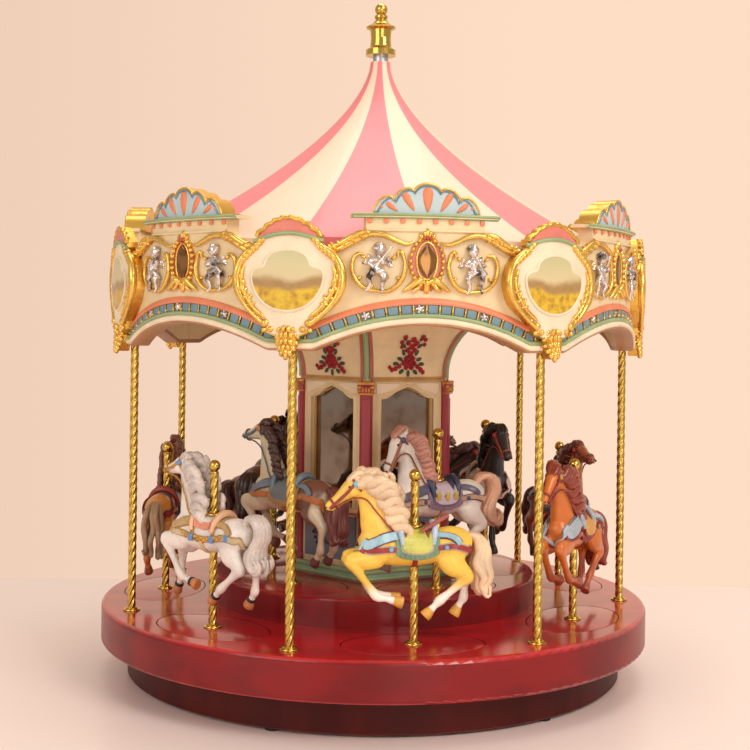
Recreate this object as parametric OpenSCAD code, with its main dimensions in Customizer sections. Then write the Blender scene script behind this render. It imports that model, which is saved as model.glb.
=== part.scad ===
// Wind-up carousel music box: a wooden turntable with a canopy and twelve lift-out horses,
// turned by a spring-driven musical movement in the foot.
// Millimetres, +Z up. The origin is the centre of the foot on the table; -Y is the front,
// where the middle of one canopy panel faces.

/* [Foot] */
// Radius of the wooden foot
plinth_r = 194.5; // [190:0.5:200]
// Height of the wooden foot
plinth_h = 24.6; // [24:0.1:30]
// Thickness of the top plate of the foot
plinth_top_t = 12; // [11:0.1:13]
// Width of the outer rim of the foot
plinth_rim = 12.5; // [9:0.5:16]
// Height of the rubber feet
pad_h = 2; // [1.5:0.1:4]
// Radius of the rubber feet
pad_r = 5; // [3:0.1:6]
// Number of rubber feet
pad_count = 6; // [4:1:10]
// Thickness of the bottom cover
cover_t = 3; // [2:0.1:4]
// Radius of the finger opening around the key
key_opening_r = 30; // [24:0.5:40]
// Running gap between the foot and the turntable
run_gap = 0.8; // [0.5:0.1:2]

/* [Turntable] */
// Radius of the turntable deck
deck_r = 215; // [210:0.5:225]
// Thickness of the turntable deck
deck_h = 29; // [27:0.1:36]
// Radius of the rounding on the deck's edges
deck_round = 3; // [1:0.1:5]
// Radius of the raised inner platform
platform_r = 128.5; // [126:0.5:132]
// Height of the raised inner platform
platform_h = 21; // [16:0.1:30]
// Radius of the ball bearing's race
race_r = 100; // [88:0.5:110]
// Radius of the bearing balls
ball_r = 3; // [2.8:0.05:3.1]
// Number of bearing balls
ball_count = 24; // [8:1:32]

/* [Figures] */
// Radius of the outer ring of figures
outer_ring_r = 170; // [167:0.5:173]
// Radius of the inner ring of figures
inner_ring_r = 92.5; // [91:0.5:94]
// Turn of the inner ring from the front
inner_ring_turn = 21; // [18:0.5:24]
// Half the length of an oval stand, along the ring
stand_a = 49.5; // [44:0.5:50]
// Half the width of an oval stand, across the ring
stand_b = 31; // [26:0.5:31.5]
// Thickness of an oval stand
stand_t = 6; // [4:0.1:8]
// Gap around an oval stand in its recess
stand_gap = 0.5; // [0.3:0.05:1]
// Radius of a figure's brass pole
pole_r = 3; // [2.5:0.05:3.3]
// Radius of the ball on a figure's pole
pole_ball_r = 4.2; // [3.8:0.1:5]
// Height of the top of the ball above the stand
pole_top = 119; // [112:0.5:130]
// Height of a figure above its own lowest place on the pole
figure_lift = 0; // [0:0.5:6]

/* [Column] */
// Radius of the column's corners
column_r = 61.5; // [60:0.5:63]
// Turn of the column's first face from the front
column_turn = 19.8; // [15:0.1:25]
// Thickness of the column's face boards
face_t = 5; // [4:0.1:6]
// Width of a corner pillar
pillar_w = 10; // [8:0.5:12]
// Height of the straight part of the column above the platform
column_h = 152.3; // [140:0.1:165]
// Height of the base moulding
base_h = 9; // [6:0.1:12]
// Top of the rail under the mirrors, above the platform
rail_top = 54.5; // [45:0.5:60]
// Half the width of a mirror opening
mirror_w = 23.4; // [20:0.1:25]
// Height of the mirror's shoulders above the platform
mirror_shoulder = 138.5; // [125:0.5:140]
// Height of the mirror's crown above its shoulders
mirror_crown = 9.5; // [6:0.1:11]
// Radius of the cove's curve
cove_r = 52.6; // [48:0.1:58]

/* [Canopy] */
// Height from the deck to the underside of the boards
board_bottom = 199; // [194:0.5:206]
// Outer radius of the rounding boards
board_r = 200.5; // [199.5:0.5:202]
// Thickness of the rounding boards
board_t = 11; // [9:0.5:12.5]
// Height of the cornice above the boards' underside
cornice_rise = 88; // [84:0.5:94]
// Rise of each board's arch
arch_rise = 17.5; // [12:0.5:24]
// Half the angle that a panel's top takes
panel_top_angle = 11.5; // [10:0.1:12.5]
// Half the angle that a cornice takes
cornice_angle = 14.1; // [13:0.1:15]
// Height of a fan crest
fan_h = 20.7; // [16:0.1:26]
// Depth of a fan crest
fan_d = 15; // [11:0.5:16]
// Thickness of a medallion
medallion_t = 8; // [6:0.1:9]
// Half the width of a medallion
medallion_w = 37; // [34:0.5:40]
// Height from the deck to the ceiling's underside
ceiling_z = 224; // [222:0.5:226]
// Thickness of the ceiling
ceiling_t = 4; // [3:0.1:6]
// Radius of the canopy poles
post_r = 3.1; // [2.6:0.05:3.4]
// Radius of the ring of canopy poles
post_ring_r = 196; // [194.5:0.5:197]
// Height from the deck to the top of the roof
roof_top = 428; // [400:1:440]
// Height from the deck to the roof's lower edge
roof_eave = 274; // [270:0.5:280]
// Thickness of the roof
roof_t = 2.5; // [2:0.1:4]
// Radius of the roof at its top
roof_neck_r = 8.2; // [7.6:0.1:10]
// Hollow of the roof's slope, 1 is a plain cone
roof_power = 1.64; // [1.3:0.02:1.9]

/* [Movement] */
// Radius of the winding arbor
arbor_r = 3; // [2.5:0.05:3.2]
// Radius of the spring barrel
barrel_r = 17; // [16.8:0.1:17.3]
// Height of the spring barrel
barrel_h = 12; // [11:0.1:13]
// Radius of the pinned cylinder
drum_r = 6.5; // [6:0.1:6.7]
// Length of the pinned cylinder
drum_l = 20; // [18:0.5:20.5]
// Number of comb teeth
comb_teeth = 18; // [12:1:20]
// Width of the winding key's wings
key_w = 26; // [20:0.5:32]
// Height of the winding key's wings
key_h = 7; // [5:0.1:8]

/* [Hidden] */
$fn = 72;

eps = 0.02;
fit = 0.05;          // radial clearance of a running fit
slack = 0.3;         // clearance between loose neighbours
outer_count = 7;     // figures in the outer ring, and canopy panels
inner_count = 5;     // figures in the inner ring, and column faces
outer_step = 360 / outer_count;
inner_step = 360 / inner_count;

// Heights of the foot and the turntable
plinth_top = pad_h + plinth_h;
plate_z = plinth_top - plinth_top_t;
deck_z = plinth_top + run_gap;
deck_top = deck_z + deck_h;
platform_top = deck_top + platform_h;

// Foot
cavity_r = plinth_r - plinth_rim;
cover_inset = 0.4;
cover_z = pad_h + cover_inset;
boss_r = 4;
boss_root = 0.5;                            // how far a boss runs into the plate
boss_ring_r = cavity_r - 2 * boss_r;
screw_r = 1.5;
screw_head_r = 2.8;
screw_head_t = 1.4;
movement_hole_r = 58;
bed_r = 68;
bed_t = 2;
bed_z = plate_z - bed_t;
bed_screw_ring_r = (bed_r + movement_hole_r) / 2;
bed_screw_count = 4;

// Ball bearing between the foot and the turntable
race_w = 13;                                // half the width of a race ring
ball_z = plinth_top + run_gap / 2;
groove_r = ball_r + fit;
race_shoulder = 1.6;                        // from the ball centres to a race's face
race_t = 3.8;
cage_t = 1.6;
race_depth = race_shoulder + race_t - run_gap / 2;

// Movement: heights
crown_m = 0.75;                             // tooth module of the crown wheel and its pinion
train_m = 0.5;                              // tooth module of the governor train
barrel_z = plate_z + slack;
barrel_wall = 1.4;
crown_disc_t = 1.6;
crown_z = barrel_z + barrel_h;
crown_n = 40;
crown_pitch_r = crown_m * crown_n / 2;
crown_face = 0.8;                           // half the width of the crown teeth
crown_root_z = crown_z + crown_disc_t;
pinion_n = 20;
pinion_r = crown_m * pinion_n / 2;
axis_z = crown_root_z + crown_m * 1.2 + pinion_r;
wheel_n = 36;
idler_n = 9;
idler_wheel_n = 24;
idler_y = train_m * (wheel_n + idler_n) / 2;
worm_pitch = PI * train_m;
worm_core_r = 1.35;
worm_throw = 0.5;                           // offset that makes the worm's thread
worm_y = idler_y + train_m * idler_wheel_n / 2 + 1.7;
hub_r = 5;
shaft_r = 4;
pocket_r = 60;
pocket_top = deck_top - 8.4;
shaft_flange_r = 20;
shaft_flange_t = 2.5;
tongue_w = 3;
tongue_h = 2.4;

// Movement: places along the cylinder's axis
bracket_t = 2;
inner_bracket_x = barrel_r + 1;
drum_x = inner_bracket_x + bracket_t + 0.5;
wheel_x = drum_x + drum_l + 1.2;
wheel_t = 2.3;
idler_bracket_x = wheel_x - 0.9 - bracket_t;
idler_wheel_x = wheel_x + wheel_t + 2.3;
idler_wheel_t = 2;
outer_bracket_x = idler_wheel_x + idler_wheel_t + 2.2;
worm_x = idler_wheel_x + idler_wheel_t / 2;
axle_r = 1;
idler_axle_r = 0.9;
pivot_r = 0.5;
fan_r = 4.6;

// Tie rod and column
rod_r = 3;
face_dist = column_r * cos(180 / inner_count);
face_w = 2 * column_r * sin(180 / inner_count);
column_top = platform_top + column_h;
ceiling_bottom = deck_top + ceiling_z;
cove_start = column_top + 5;

// Canopy
board_z = deck_top + board_bottom;
cornice_z = board_z + cornice_rise;
cornice_h = 2.4;
cornice_out = 3;
board_in_r = board_r - board_t;
roof_z = deck_top + roof_top;
eave_z = deck_top + roof_eave;
eave_r = board_in_r - slack;
neck_h = 5.5;
finial_z = roof_z + neck_h;
board_gap_angle = 0.1;
flat_angle = 4.6;                           // half the angle of the flat at a medallion

module at(angle, radius) {
    rotate([0, 0, angle]) translate([0, -radius, 0]) children();
}

module ring(r_out, r_in, height) {
    difference() {
        cylinder(r = r_out, h = height);
        translate([0, 0, -1]) cylinder(r = r_in, h = height + 2);
    }
}

// ---------------------------------------------------------------- foot

module plinth() {
    color("#3b1d14") {
        difference() {
            rotate_extrude($fn = 144) polygon([
                [movement_hole_r, plate_z], [cavity_r, plate_z], [cavity_r, pad_h],
                [plinth_r - 1, pad_h], [plinth_r, pad_h + 1], [plinth_r, plinth_top - 1],
                [plinth_r - 1, plinth_top], [movement_hole_r, plinth_top]
            ]);
            translate([0, 0, plinth_top - race_depth])
                ring(race_r + race_w + slack, race_r - race_w - slack, race_depth + 1);
            for (i = [0 : bed_screw_count - 1])
                at(45 + i * 360 / bed_screw_count, bed_screw_ring_r)
                    translate([0, 0, plate_z - 1]) cylinder(r = screw_r + fit, h = 7, $fn = 24);
        }
        for (i = [0 : pad_count - 1])
            at(i * 360 / pad_count, boss_ring_r)
                translate([0, 0, cover_z + cover_t])
                    difference() {
                        cylinder(r = boss_r, h = plate_z - cover_z - cover_t + boss_root, $fn = 32);
                        translate([0, 0, -1]) cylinder(r = screw_r + fit, h = 8, $fn = 24);
                    }
    }
}

module bottom_cover() {
    slots = 12;
    color("#5a3420") difference() {
        translate([0, 0, cover_z]) cylinder(r = cavity_r - slack, h = cover_t, $fn = 144);
        translate([0, 0, cover_z - 1]) cylinder(r = key_opening_r, h = cover_t + 2);
        for (i = [0 : slots - 1])
            at(i * 360 / slots + 15, key_opening_r + 28)
                translate([-1.5, -12, cover_z - 1]) cube([3, 24, cover_t + 2]);
        for (i = [0 : pad_count - 1])
            at(i * 360 / pad_count, boss_ring_r) {
                translate([0, 0, cover_z - 1]) cylinder(r = screw_r + fit, h = cover_t + 2, $fn = 24);
                translate([0, 0, cover_z - 1]) cylinder(r = screw_head_r + fit, h = screw_head_t + 1, $fn = 24);
            }
    }
}

module rubber_feet() {
    color("#202020")
        for (i = [0 : pad_count - 1])
            at((i + 0.5) * 360 / pad_count, plinth_r - plinth_rim / 2) cylinder(r = pad_r, h = pad_h, $fn = 32);
}

module wood_screw(length) {
    cylinder(r = screw_head_r, h = screw_head_t, $fn = 24);
    cylinder(r = screw_r, h = length, $fn = 24);
}

module cover_screws() {
    color("silver")
        for (i = [0 : pad_count - 1])
            at(i * 360 / pad_count, boss_ring_r) translate([0, 0, cover_z]) wood_screw(cover_t + 6);
}

// ---------------------------------------------------------------- bearing

module ball_groove() {
    translate([0, 0, ball_z]) rotate_extrude() translate([race_r, 0]) circle(r = groove_r, $fn = 48);
}

module lower_race() {
    color("silver") difference() {
        translate([0, 0, ball_z - race_shoulder - race_t]) ring(race_r + race_w, race_r - race_w, race_t);
        ball_groove();
    }
}

module upper_race() {
    color("silver") difference() {
        translate([0, 0, ball_z + race_shoulder]) ring(race_r + race_w, race_r - race_w, race_t);
        ball_groove();
    }
}

module bearing_cage() {
    color("goldenrod") difference() {
        translate([0, 0, ball_z - cage_t / 2]) ring(race_r + 6, race_r - 6, cage_t);
        for (i = [0 : ball_count - 1])
            at(i * 360 / ball_count, race_r)
                translate([0, 0, ball_z - cage_t]) cylinder(r = ball_r + 0.12, h = 2 * cage_t, $fn = 32);
    }
    color("lightgrey")
        for (i = [0 : ball_count - 1])
            at(i * 360 / ball_count, race_r) translate([0, 0, ball_z]) sphere(r = ball_r, $fn = 32);
}

// ---------------------------------------------------------------- movement

// Spur gear outline: straight-sided teeth, the first one centred on +X
module gear_outline(m, n, tip = 0.9, root = 1.15, thick = 0.42) {
    pitch_r = m * n / 2;
    tip_r = pitch_r + tip * m;
    root_r = pitch_r - root * m;
    half = 180 / n;
    polygon([
        for (i = [0 : n - 1])
            for (p = [[root_r, -thick * 1.35], [pitch_r, -thick], [tip_r, -thick * 0.5],
                      [tip_r, thick * 0.5], [pitch_r, thick], [root_r, thick * 1.35]])
                [p[0] * cos(i * 2 * half + p[1] * half), p[0] * sin(i * 2 * half + p[1] * half)]
    ]);
}

// A gear on an axle along X: its first tooth points to +Z before the turn
module gear_x(m, n, width, turn = 0) {
    rotate([90 + turn, 0, 0]) rotate([0, 90, 0]) linear_extrude(width) rotate(90) gear_outline(m, n);
}

module axle_x(r, x0, x1) {
    translate([x0, 0, 0]) rotate([0, 90, 0]) cylinder(r = r, h = x1 - x0, $fn = 32);
}

module bedplate() {
    color("#c9a24a") difference() {
        translate([0, 0, bed_z]) cylinder(r = bed_r, h = bed_t);
        translate([0, 0, bed_z - 1]) cylinder(r = arbor_r + fit, h = bed_t + 2);
        for (i = [0 : bed_screw_count - 1])
            at(45 + i * 360 / bed_screw_count, bed_screw_ring_r)
                translate([0, 0, bed_z - 1]) cylinder(r = screw_r + fit, h = bed_t + 2, $fn = 24);
    }
}

comb_block_y = -drum_r - 18;
comb_t = 1.2;
comb_screw_x = [drum_x + 4, drum_x + drum_l - 4];

module movement_brackets() {
    post_h = axis_z - plate_z + 3;
    color("#b8b8b8") {
        difference() {
            translate([inner_bracket_x, -4, plate_z]) cube([bracket_t, 8, post_h]);
            translate([0, 0, axis_z]) axle_x(axle_r + fit, inner_bracket_x - 1, inner_bracket_x + bracket_t + 1);
        }
        difference() {
            translate([outer_bracket_x, -4, plate_z]) cube([bracket_t, idler_y + 8, post_h]);
            translate([0, 0, axis_z]) axle_x(axle_r + fit, outer_bracket_x - 1, outer_bracket_x + bracket_t + 1);
            translate([0, idler_y, axis_z])
                axle_x(idler_axle_r + fit, outer_bracket_x - 1, outer_bracket_x + bracket_t + 1);
        }
        difference() {
            translate([idler_bracket_x, idler_y - 2.2, plate_z]) cube([bracket_t, 4.4, post_h - 1]);
            translate([0, idler_y, axis_z])
                axle_x(idler_axle_r + fit, idler_bracket_x - 1, idler_bracket_x + bracket_t + 1);
        }
        difference() {
            translate([drum_x, comb_block_y - 10, plate_z]) cube([drum_l, 10, axis_z - plate_z - comb_t / 2]);
            for (x = comb_screw_x)
                translate([x, comb_block_y - 5, axis_z - 8]) cylinder(r = screw_r + fit, h = 10, $fn = 24);
        }
    }
}

module comb() {
    tip_y = -drum_r - 0.75;
    pitch = drum_l / comb_teeth;
    color("#9aa2a8") difference() {
        translate([drum_x, comb_block_y - 10, axis_z - comb_t / 2]) cube([drum_l, tip_y - comb_block_y + 10, comb_t]);
        for (i = [1 : comb_teeth - 1])
            translate([drum_x + i * pitch - 0.15, comb_block_y + 2, axis_z - comb_t])
                cube([0.3, tip_y - comb_block_y, 2 * comb_t]);
        for (x = comb_screw_x)
            translate([x, comb_block_y - 5, axis_z - comb_t]) cylinder(r = screw_r + fit, h = 2 * comb_t, $fn = 24);
    }
}

module movement_screws() {
    color("silver") {
        for (x = comb_screw_x)
            translate([x, comb_block_y - 5, axis_z + comb_t / 2 + screw_head_t]) mirror([0, 0, 1]) wood_screw(9);
        for (i = [0 : bed_screw_count - 1])
            at(45 + i * 360 / bed_screw_count, bed_screw_ring_r)
                translate([0, 0, bed_z - screw_head_t]) wood_screw(screw_head_t + bed_t + 5);
    }
}

governor_low = plate_z + 4;
governor_high = axis_z + 7;

module governor_block() {
    color("#b8b8b8") difference() {
        translate([worm_x - 3, worm_y - 3, plate_z]) cube([6, 11, governor_high - plate_z + 2]);
        translate([worm_x - 4, worm_y - 4, plate_z - 1]) cube([8, 9, governor_low - plate_z + 1]);
        translate([worm_x - 4, worm_y - 4, governor_low + 2]) cube([8, 9, governor_high - governor_low - 2]);
        translate([worm_x, worm_y, governor_low - 1]) cylinder(r = pivot_r + fit, h = governor_high, $fn = 24);
    }
}

module pin_cylinder() {
    tracks = comb_teeth;
    pins = 3;
    color("#d8b450") translate([0, 0, axis_z]) {
        union() {
            axle_x(axle_r, crown_pitch_r - crown_face, outer_bracket_x + bracket_t);
            axle_x(drum_r, drum_x, drum_x + drum_l);
            translate([crown_pitch_r - crown_face, 0, 0]) gear_x(crown_m, pinion_n, 2 * crown_face, 0);
            translate([wheel_x, 0, 0]) gear_x(train_m, wheel_n, wheel_t, 0);
            for (i = [0 : tracks - 1])
                for (j = [0 : pins - 1])
                    translate([drum_x + (i + 0.5) * drum_l / tracks, 0, 0])
                        rotate([i * 47 + j * 127 + 20, 0, 0])
                            translate([0, 0, drum_r - 0.5]) cylinder(r = 0.3, h = 1.1, $fn = 16);
        }
    }
}

module governor_idler() {
    color("#d8b450") translate([0, idler_y, axis_z]) {
        axle_x(idler_axle_r, idler_bracket_x, outer_bracket_x + bracket_t);
        translate([wheel_x, 0, 0]) gear_x(train_m, idler_n, wheel_t, 30);
        translate([idler_wheel_x, 0, 0]) gear_x(train_m, idler_wheel_n, idler_wheel_t, 0);
    }
}

module governor_fan() {
    worm_z = axis_z - 3 * worm_pitch;
    turns = 6;
    color("#e8e4d8") translate([worm_x, worm_y, 0]) {
        translate([0, 0, governor_low]) cylinder(r = pivot_r, h = governor_high - governor_low + 2, $fn = 24);
        translate([0, 0, governor_low + 2 + slack])
            cylinder(r = 0.8, h = governor_high - governor_low - 2 - 2 * slack, $fn = 24);
        translate([0, 0, worm_z])
            linear_extrude(height = turns * worm_pitch, twist = -360 * turns, slices = 8 * turns, segments = 8, $fn = 8)
                translate([0, worm_throw]) circle(r = worm_core_r, $fn = 8);
        translate([-fan_r, -0.3, governor_low + 3]) cube([2 * fan_r, 0.6, 5]);
        translate([-0.3, -fan_r + 2.4, governor_low + 3]) cube([0.6, 2 * fan_r - 4.8, 5]);
    }
}

key_z = cover_z + 1.2;
arbor_core_r = 4.6;

module winding_arbor() {
    color("#8f8f8f") {
        translate([0, 0, key_z + key_h]) cylinder(r = arbor_r - 0.5, h = bed_z - key_z - key_h);
        translate([0, 0, bed_z - slack]) cylinder(r = arbor_r, h = crown_z - bed_z + slack + crown_disc_t - 0.6);
        translate([0, 0, barrel_z + barrel_wall + slack])
            cylinder(r = arbor_core_r, h = barrel_h - barrel_wall - 2 * slack);
    }
}

module winding_key() {
    wing_r = key_h / 2;
    color("#d0a848") difference() {
        union() {
            translate([0, 0, key_z]) cylinder(r = 4.5, h = key_h);
            translate([0, 1.2, key_z + wing_r]) rotate([90, 0, 0]) linear_extrude(2.4)
                for (s = [-1, 1]) {
                    translate([s * (key_w / 2 - wing_r), 0]) circle(r = wing_r, $fn = 40);
                    translate([s < 0 ? -key_w / 2 + wing_r : 0, -wing_r + 1]) square([key_w / 2 - wing_r, 2 * wing_r - 2]);
                }
        }
        for (s = [-1, 1])
            translate([s * (key_w / 2 - wing_r), 3, key_z + wing_r])
                rotate([90, 0, 0]) cylinder(r = wing_r - 1.4, h = 6, $fn = 32);
    }
}

module spring_barrel() {
    color("#c9a24a") difference() {
        translate([0, 0, barrel_z]) cylinder(r = barrel_r, h = barrel_h);
        translate([0, 0, barrel_z + barrel_wall]) cylinder(r = barrel_r - barrel_wall, h = barrel_h);
        translate([0, 0, barrel_z - 1]) cylinder(r = arbor_r + fit, h = barrel_h);
    }
}

// Crown wheel that closes the barrel: upright teeth around its rim
module crown_wheel() {
    half = 180 / crown_n;
    inner = crown_pitch_r - crown_face;
    outer = crown_pitch_r + crown_face;
    low = crown_root_z - eps;
    steps = [[low, 0.52], [crown_root_z + 1.2 * crown_m, 0.4], [crown_root_z + 2.1 * crown_m, 0.22]];
    color("#d8b450") {
        difference() {
            union() {
                translate([0, 0, crown_z]) cylinder(r = barrel_r, h = crown_disc_t);
                translate([0, 0, crown_z]) cylinder(r = hub_r + 1.5, h = crown_disc_t + tongue_h + 1);
            }
            translate([0, 0, crown_z - 1]) cylinder(r = arbor_r + fit, h = crown_disc_t + 1);
            translate([-hub_r * 2, -tongue_w / 2 - fit, crown_root_z + 1]) cube([hub_r * 4, tongue_w + 2 * fit, tongue_h + 2]);
        }
        for (i = [0 : crown_n - 1])
            rotate([0, 0, (i + 0.5) * 2 * half])
                translate([inner, 0, 0]) rotate([90, 0, 90]) linear_extrude(outer - inner)
                    polygon([
                        for (s = steps) [-s[1] * crown_m * PI / 2, s[0]],
                        for (j = [2 : -1 : 0]) [steps[j][1] * crown_m * PI / 2, steps[j][0]]
                    ]);
    }
}

// Mainspring, wound as an even spiral between the arbor and the barrel's wall
module mainspring() {
    turns = 6;
    strip = 0.5;
    r0 = arbor_core_r + slack;
    r1 = barrel_r - barrel_wall - slack - strip;
    n = 24 * turns;
    color("#5c6670") translate([0, 0, barrel_z + barrel_wall + slack])
        linear_extrude(barrel_h - barrel_wall - 2 * slack)
            polygon([
                for (i = [0 : n]) let (a = 360 * turns * i / n, r = r0 + (r1 - r0) * i / n) [r * cos(a), r * sin(a)],
                for (i = [n : -1 : 0])
                    let (a = 360 * turns * i / n, r = r0 + (r1 - r0) * i / n + strip) [r * cos(a), r * sin(a)]
            ]);
}

module drive_shaft() {
    tongue_z = crown_root_z + 1 + slack;
    color("#8f8f8f") difference() {
        union() {
            translate([0, 0, pocket_top - shaft_flange_t]) cylinder(r = shaft_flange_r, h = shaft_flange_t);
            translate([0, 0, tongue_z + tongue_h]) cylinder(r = shaft_r, h = pocket_top - tongue_z - tongue_h);
            intersection() {
                translate([0, 0, tongue_z]) cylinder(r = shaft_r, h = tongue_h + 1);
                translate([-shaft_r, -tongue_w / 2, tongue_z]) cube([2 * shaft_r, tongue_w, tongue_h + 1]);
            }
        }
        translate([0, 0, pocket_top - 8]) cylinder(r = rod_r + fit, h = 9, $fn = 32);
    }
}

// ---------------------------------------------------------------- turntable

// An oval, long across X
module oval(a, b, height, n = 60) {
    linear_extrude(height) polygon([for (i = [0 : n - 1]) [a * cos(i * 360 / n), b * sin(i * 360 / n)]]);
}

module stand_recesses(count, step, turn, radius, top) {
    for (i = [0 : count - 1])
        at(turn + i * step, radius)
            translate([0, 0, top - stand_t]) oval(stand_a + stand_gap, stand_b + stand_gap, stand_t + 1);
}

module deck() {
    color("#7c1418") difference() {
        rotate_extrude($fn = 180) {
            difference() {
                translate([0, deck_z]) square([deck_r, deck_h]);
                translate([deck_r - deck_round, deck_top - deck_round])
                    difference() {
                        square(deck_round + 1);
                        circle(r = deck_round, $fn = 48);
                    }
                translate([deck_r - deck_round, deck_z - 1])
                    difference() {
                        square([deck_round + 1, deck_round + 1]);
                        translate([0, deck_round + 1]) circle(r = deck_round, $fn = 48);
                    }
            }
        }
        translate([0, 0, deck_z - 1]) cylinder(r = pocket_r, h = pocket_top - deck_z + 1);
        translate([0, 0, deck_z - 1]) ring(race_r + race_w + slack, race_r - race_w - slack, race_depth + 1);
        translate([0, 0, pocket_top - 1]) cylinder(r = rod_r + fit, h = deck_h, $fn = 32);
        stand_recesses(outer_count, outer_step, 0, outer_ring_r, deck_top);
        for (i = [0 : outer_count - 1])
            at((i + 0.5) * outer_step, post_ring_r)
                translate([0, 0, deck_top - 8]) cylinder(r = post_r - 0.5 + fit, h = 9, $fn = 32);
    }
}

module platform() {
    color("#7c1418") difference() {
        rotate_extrude($fn = 144) polygon([
            [rod_r + fit, deck_top], [platform_r, deck_top], [platform_r, platform_top - 1.5],
            [platform_r - 0.5, platform_top - 0.5], [platform_r - 1.5, platform_top], [rod_r + fit, platform_top]
        ]);
        stand_recesses(inner_count, inner_step, inner_ring_turn, inner_ring_r, platform_top);
    }
}

// ---------------------------------------------------------------- figures

module stand(top) {
    flange_r = 2 * pole_r;
    color("#7c1418") translate([0, 0, top - stand_t]) difference() {
        oval(stand_a, stand_b, stand_t);
        translate([0, 0, 1]) cylinder(r = pole_r - 0.5 + fit, h = stand_t, $fn = 32);
    }
    color("#c9a24a") translate([0, 0, top]) {
        translate([0, 0, 1.2 - stand_t]) cylinder(r = pole_r - 0.5, h = stand_t, $fn = 32);
        translate([0, 0, eps]) cylinder(r = flange_r, h = 1.2, $fn = 48);
        translate([0, 0, 1.2]) cylinder(r = flange_r - 1.6, h = 1, $fn = 48);
        translate([0, 0, 1]) cylinder(r = pole_r, h = pole_top - pole_ball_r - 1, $fn = 48);
        translate([0, 0, pole_top - pole_ball_r]) sphere(r = pole_ball_r, $fn = 48);
    }
}

module limb(a, b, ra, rb, n) {
    hull() {
        translate(a) sphere(r = ra, $fn = n);
        translate(b) sphere(r = rb, $fn = n);
    }
}

// A leg through its joints: [x, z, radius] at the hip, knee, fetlock and hoof
module leg(y, joints) {
    for (i = [0 : len(joints) - 2])
        limb([joints[i][0], y, joints[i][1]], [joints[i + 1][0], y, joints[i + 1][1]],
             joints[i][2], joints[i + 1][2], 6);
}

fore_tucked = [[-24, 62, 8], [-45, 58, 4], [-26, 34, 2.6], [-11, 31, 3]];
fore_reaching = [[-24, 62, 8], [-42, 50, 4], [-44, 27, 2.6], [-47, 20, 3]];
hind_under = [[24, 60, 9], [35, 46, 4.4], [15, 30, 2.6], [8, 22, 3]];
hind_back = [[24, 60, 9], [38, 47, 4.4], [36, 28, 2.6], [31, 20, 3]];
head_forward = [[-41, 107, 6.5], [-55, 95, 3.6]];
head_high = [[-33, 113, 6.5], [-50, 112, 3.6]];
head_low = [[-45, 98, 6.5], [-55, 82, 3.6]];

// A carousel horse around its pole, facing -X, standing above z = 0
module horse(head, fore_a, fore_b, hind_a, hind_b) {
    leg_y = 7;
    difference() {
        translate([0, 0, figure_lift]) union() {
            hull() {
                translate([-22, 0, 66]) sphere(r = 12, $fn = 10);
                translate([2, 0, 65]) sphere(r = 11.5, $fn = 10);
                translate([25, 0, 67]) sphere(r = 12.5, $fn = 10);
            }
            limb([-25, 0, 74], [head[0][0] + 5, 0, head[0][1] - 6], 11, 6.5, 8);
            limb([-16, 0, 84], [head[0][0] + 14, 0, head[0][1] - 6], 6.5, 7, 6);
            limb([head[0][0], 0, head[0][1]], [head[1][0], 0, head[1][1]], head[0][2], head[1][2], 6);
            limb([34, 0, 72], [45, 0, 62], 4, 7.5, 6);
            limb([45, 0, 62], [48, 0, 36], 7.5, 3.5, 6);
            leg(-leg_y, fore_a);
            leg(leg_y, fore_b);
            leg(-leg_y, hind_a);
            leg(leg_y, hind_b);
            hull() {
                translate([-8, -12.5, 58]) cube([16, 25, 4]);
                translate([-9, -7, 75]) cube([18, 14, 5]);
            }
        }
        cylinder(r = pole_r + 0.5, h = pole_top, $fn = 12);
    }
}

outer_poses = [
    [head_forward, fore_tucked, fore_tucked, hind_under, hind_back],
    [head_forward, fore_tucked, fore_tucked, hind_under, hind_back],
    [head_high, fore_reaching, fore_tucked, hind_under, hind_back],
    [head_low, fore_tucked, fore_tucked, hind_under, hind_back],
    [head_forward, fore_tucked, fore_tucked, hind_under, hind_back],
    [head_high, fore_reaching, fore_tucked, hind_back, hind_under],
    [head_high, fore_tucked, fore_reaching, hind_under, hind_back]
];
inner_poses = [
    [head_low, fore_reaching, fore_tucked, hind_under, hind_back],
    [head_forward, fore_tucked, fore_reaching, hind_back, hind_under],
    [head_forward, fore_tucked, fore_tucked, hind_under, hind_back],
    [head_high, fore_tucked, fore_reaching, hind_under, hind_back],
    [head_high, fore_tucked, fore_tucked, hind_back, hind_back]
];
outer_colours = ["#f0b040", "#c06020", "#8a4020", "#202024", "#a07040", "#c88838", "#f0e8e0"];
inner_colours = ["#f2ece6", "#202024", "#b09070", "#4a2c20", "#d8ccb0"];

module outer_stand(i) {
    at(i * outer_step, outer_ring_r) stand(deck_top);
}

module inner_stand(i) {
    at(inner_ring_turn + i * inner_step, inner_ring_r) stand(platform_top);
}

module outer_horse(i) {
    p = outer_poses[i];
    color(outer_colours[i]) at(i * outer_step, outer_ring_r)
        translate([0, 0, deck_top]) horse(p[0], p[1], p[2], p[3], p[4]);
}

module inner_horse(i) {
    p = inner_poses[i];
    color(inner_colours[i]) at(inner_ring_turn + i * inner_step, inner_ring_r)
        translate([0, 0, platform_top]) horse(p[0], p[1], p[2], p[3], p[4]);
}

// ---------------------------------------------------------------- column

module face(i) {
    at(column_turn + i * inner_step, face_dist) children();
}

// Outline of a mirror: a shouldered head that rises to a round crown
module mirror_outline(w, low, shoulder, crown) {
    polygon([
        [-w, low], [w, low], [w, shoulder],
        for (i = [0 : 12]) let (t = 1 - i / 6) [w * 0.94 * t, shoulder + crown * (1 + cos(180 * abs(t))) / 2],
        [-w, shoulder]
    ]);
}

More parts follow.
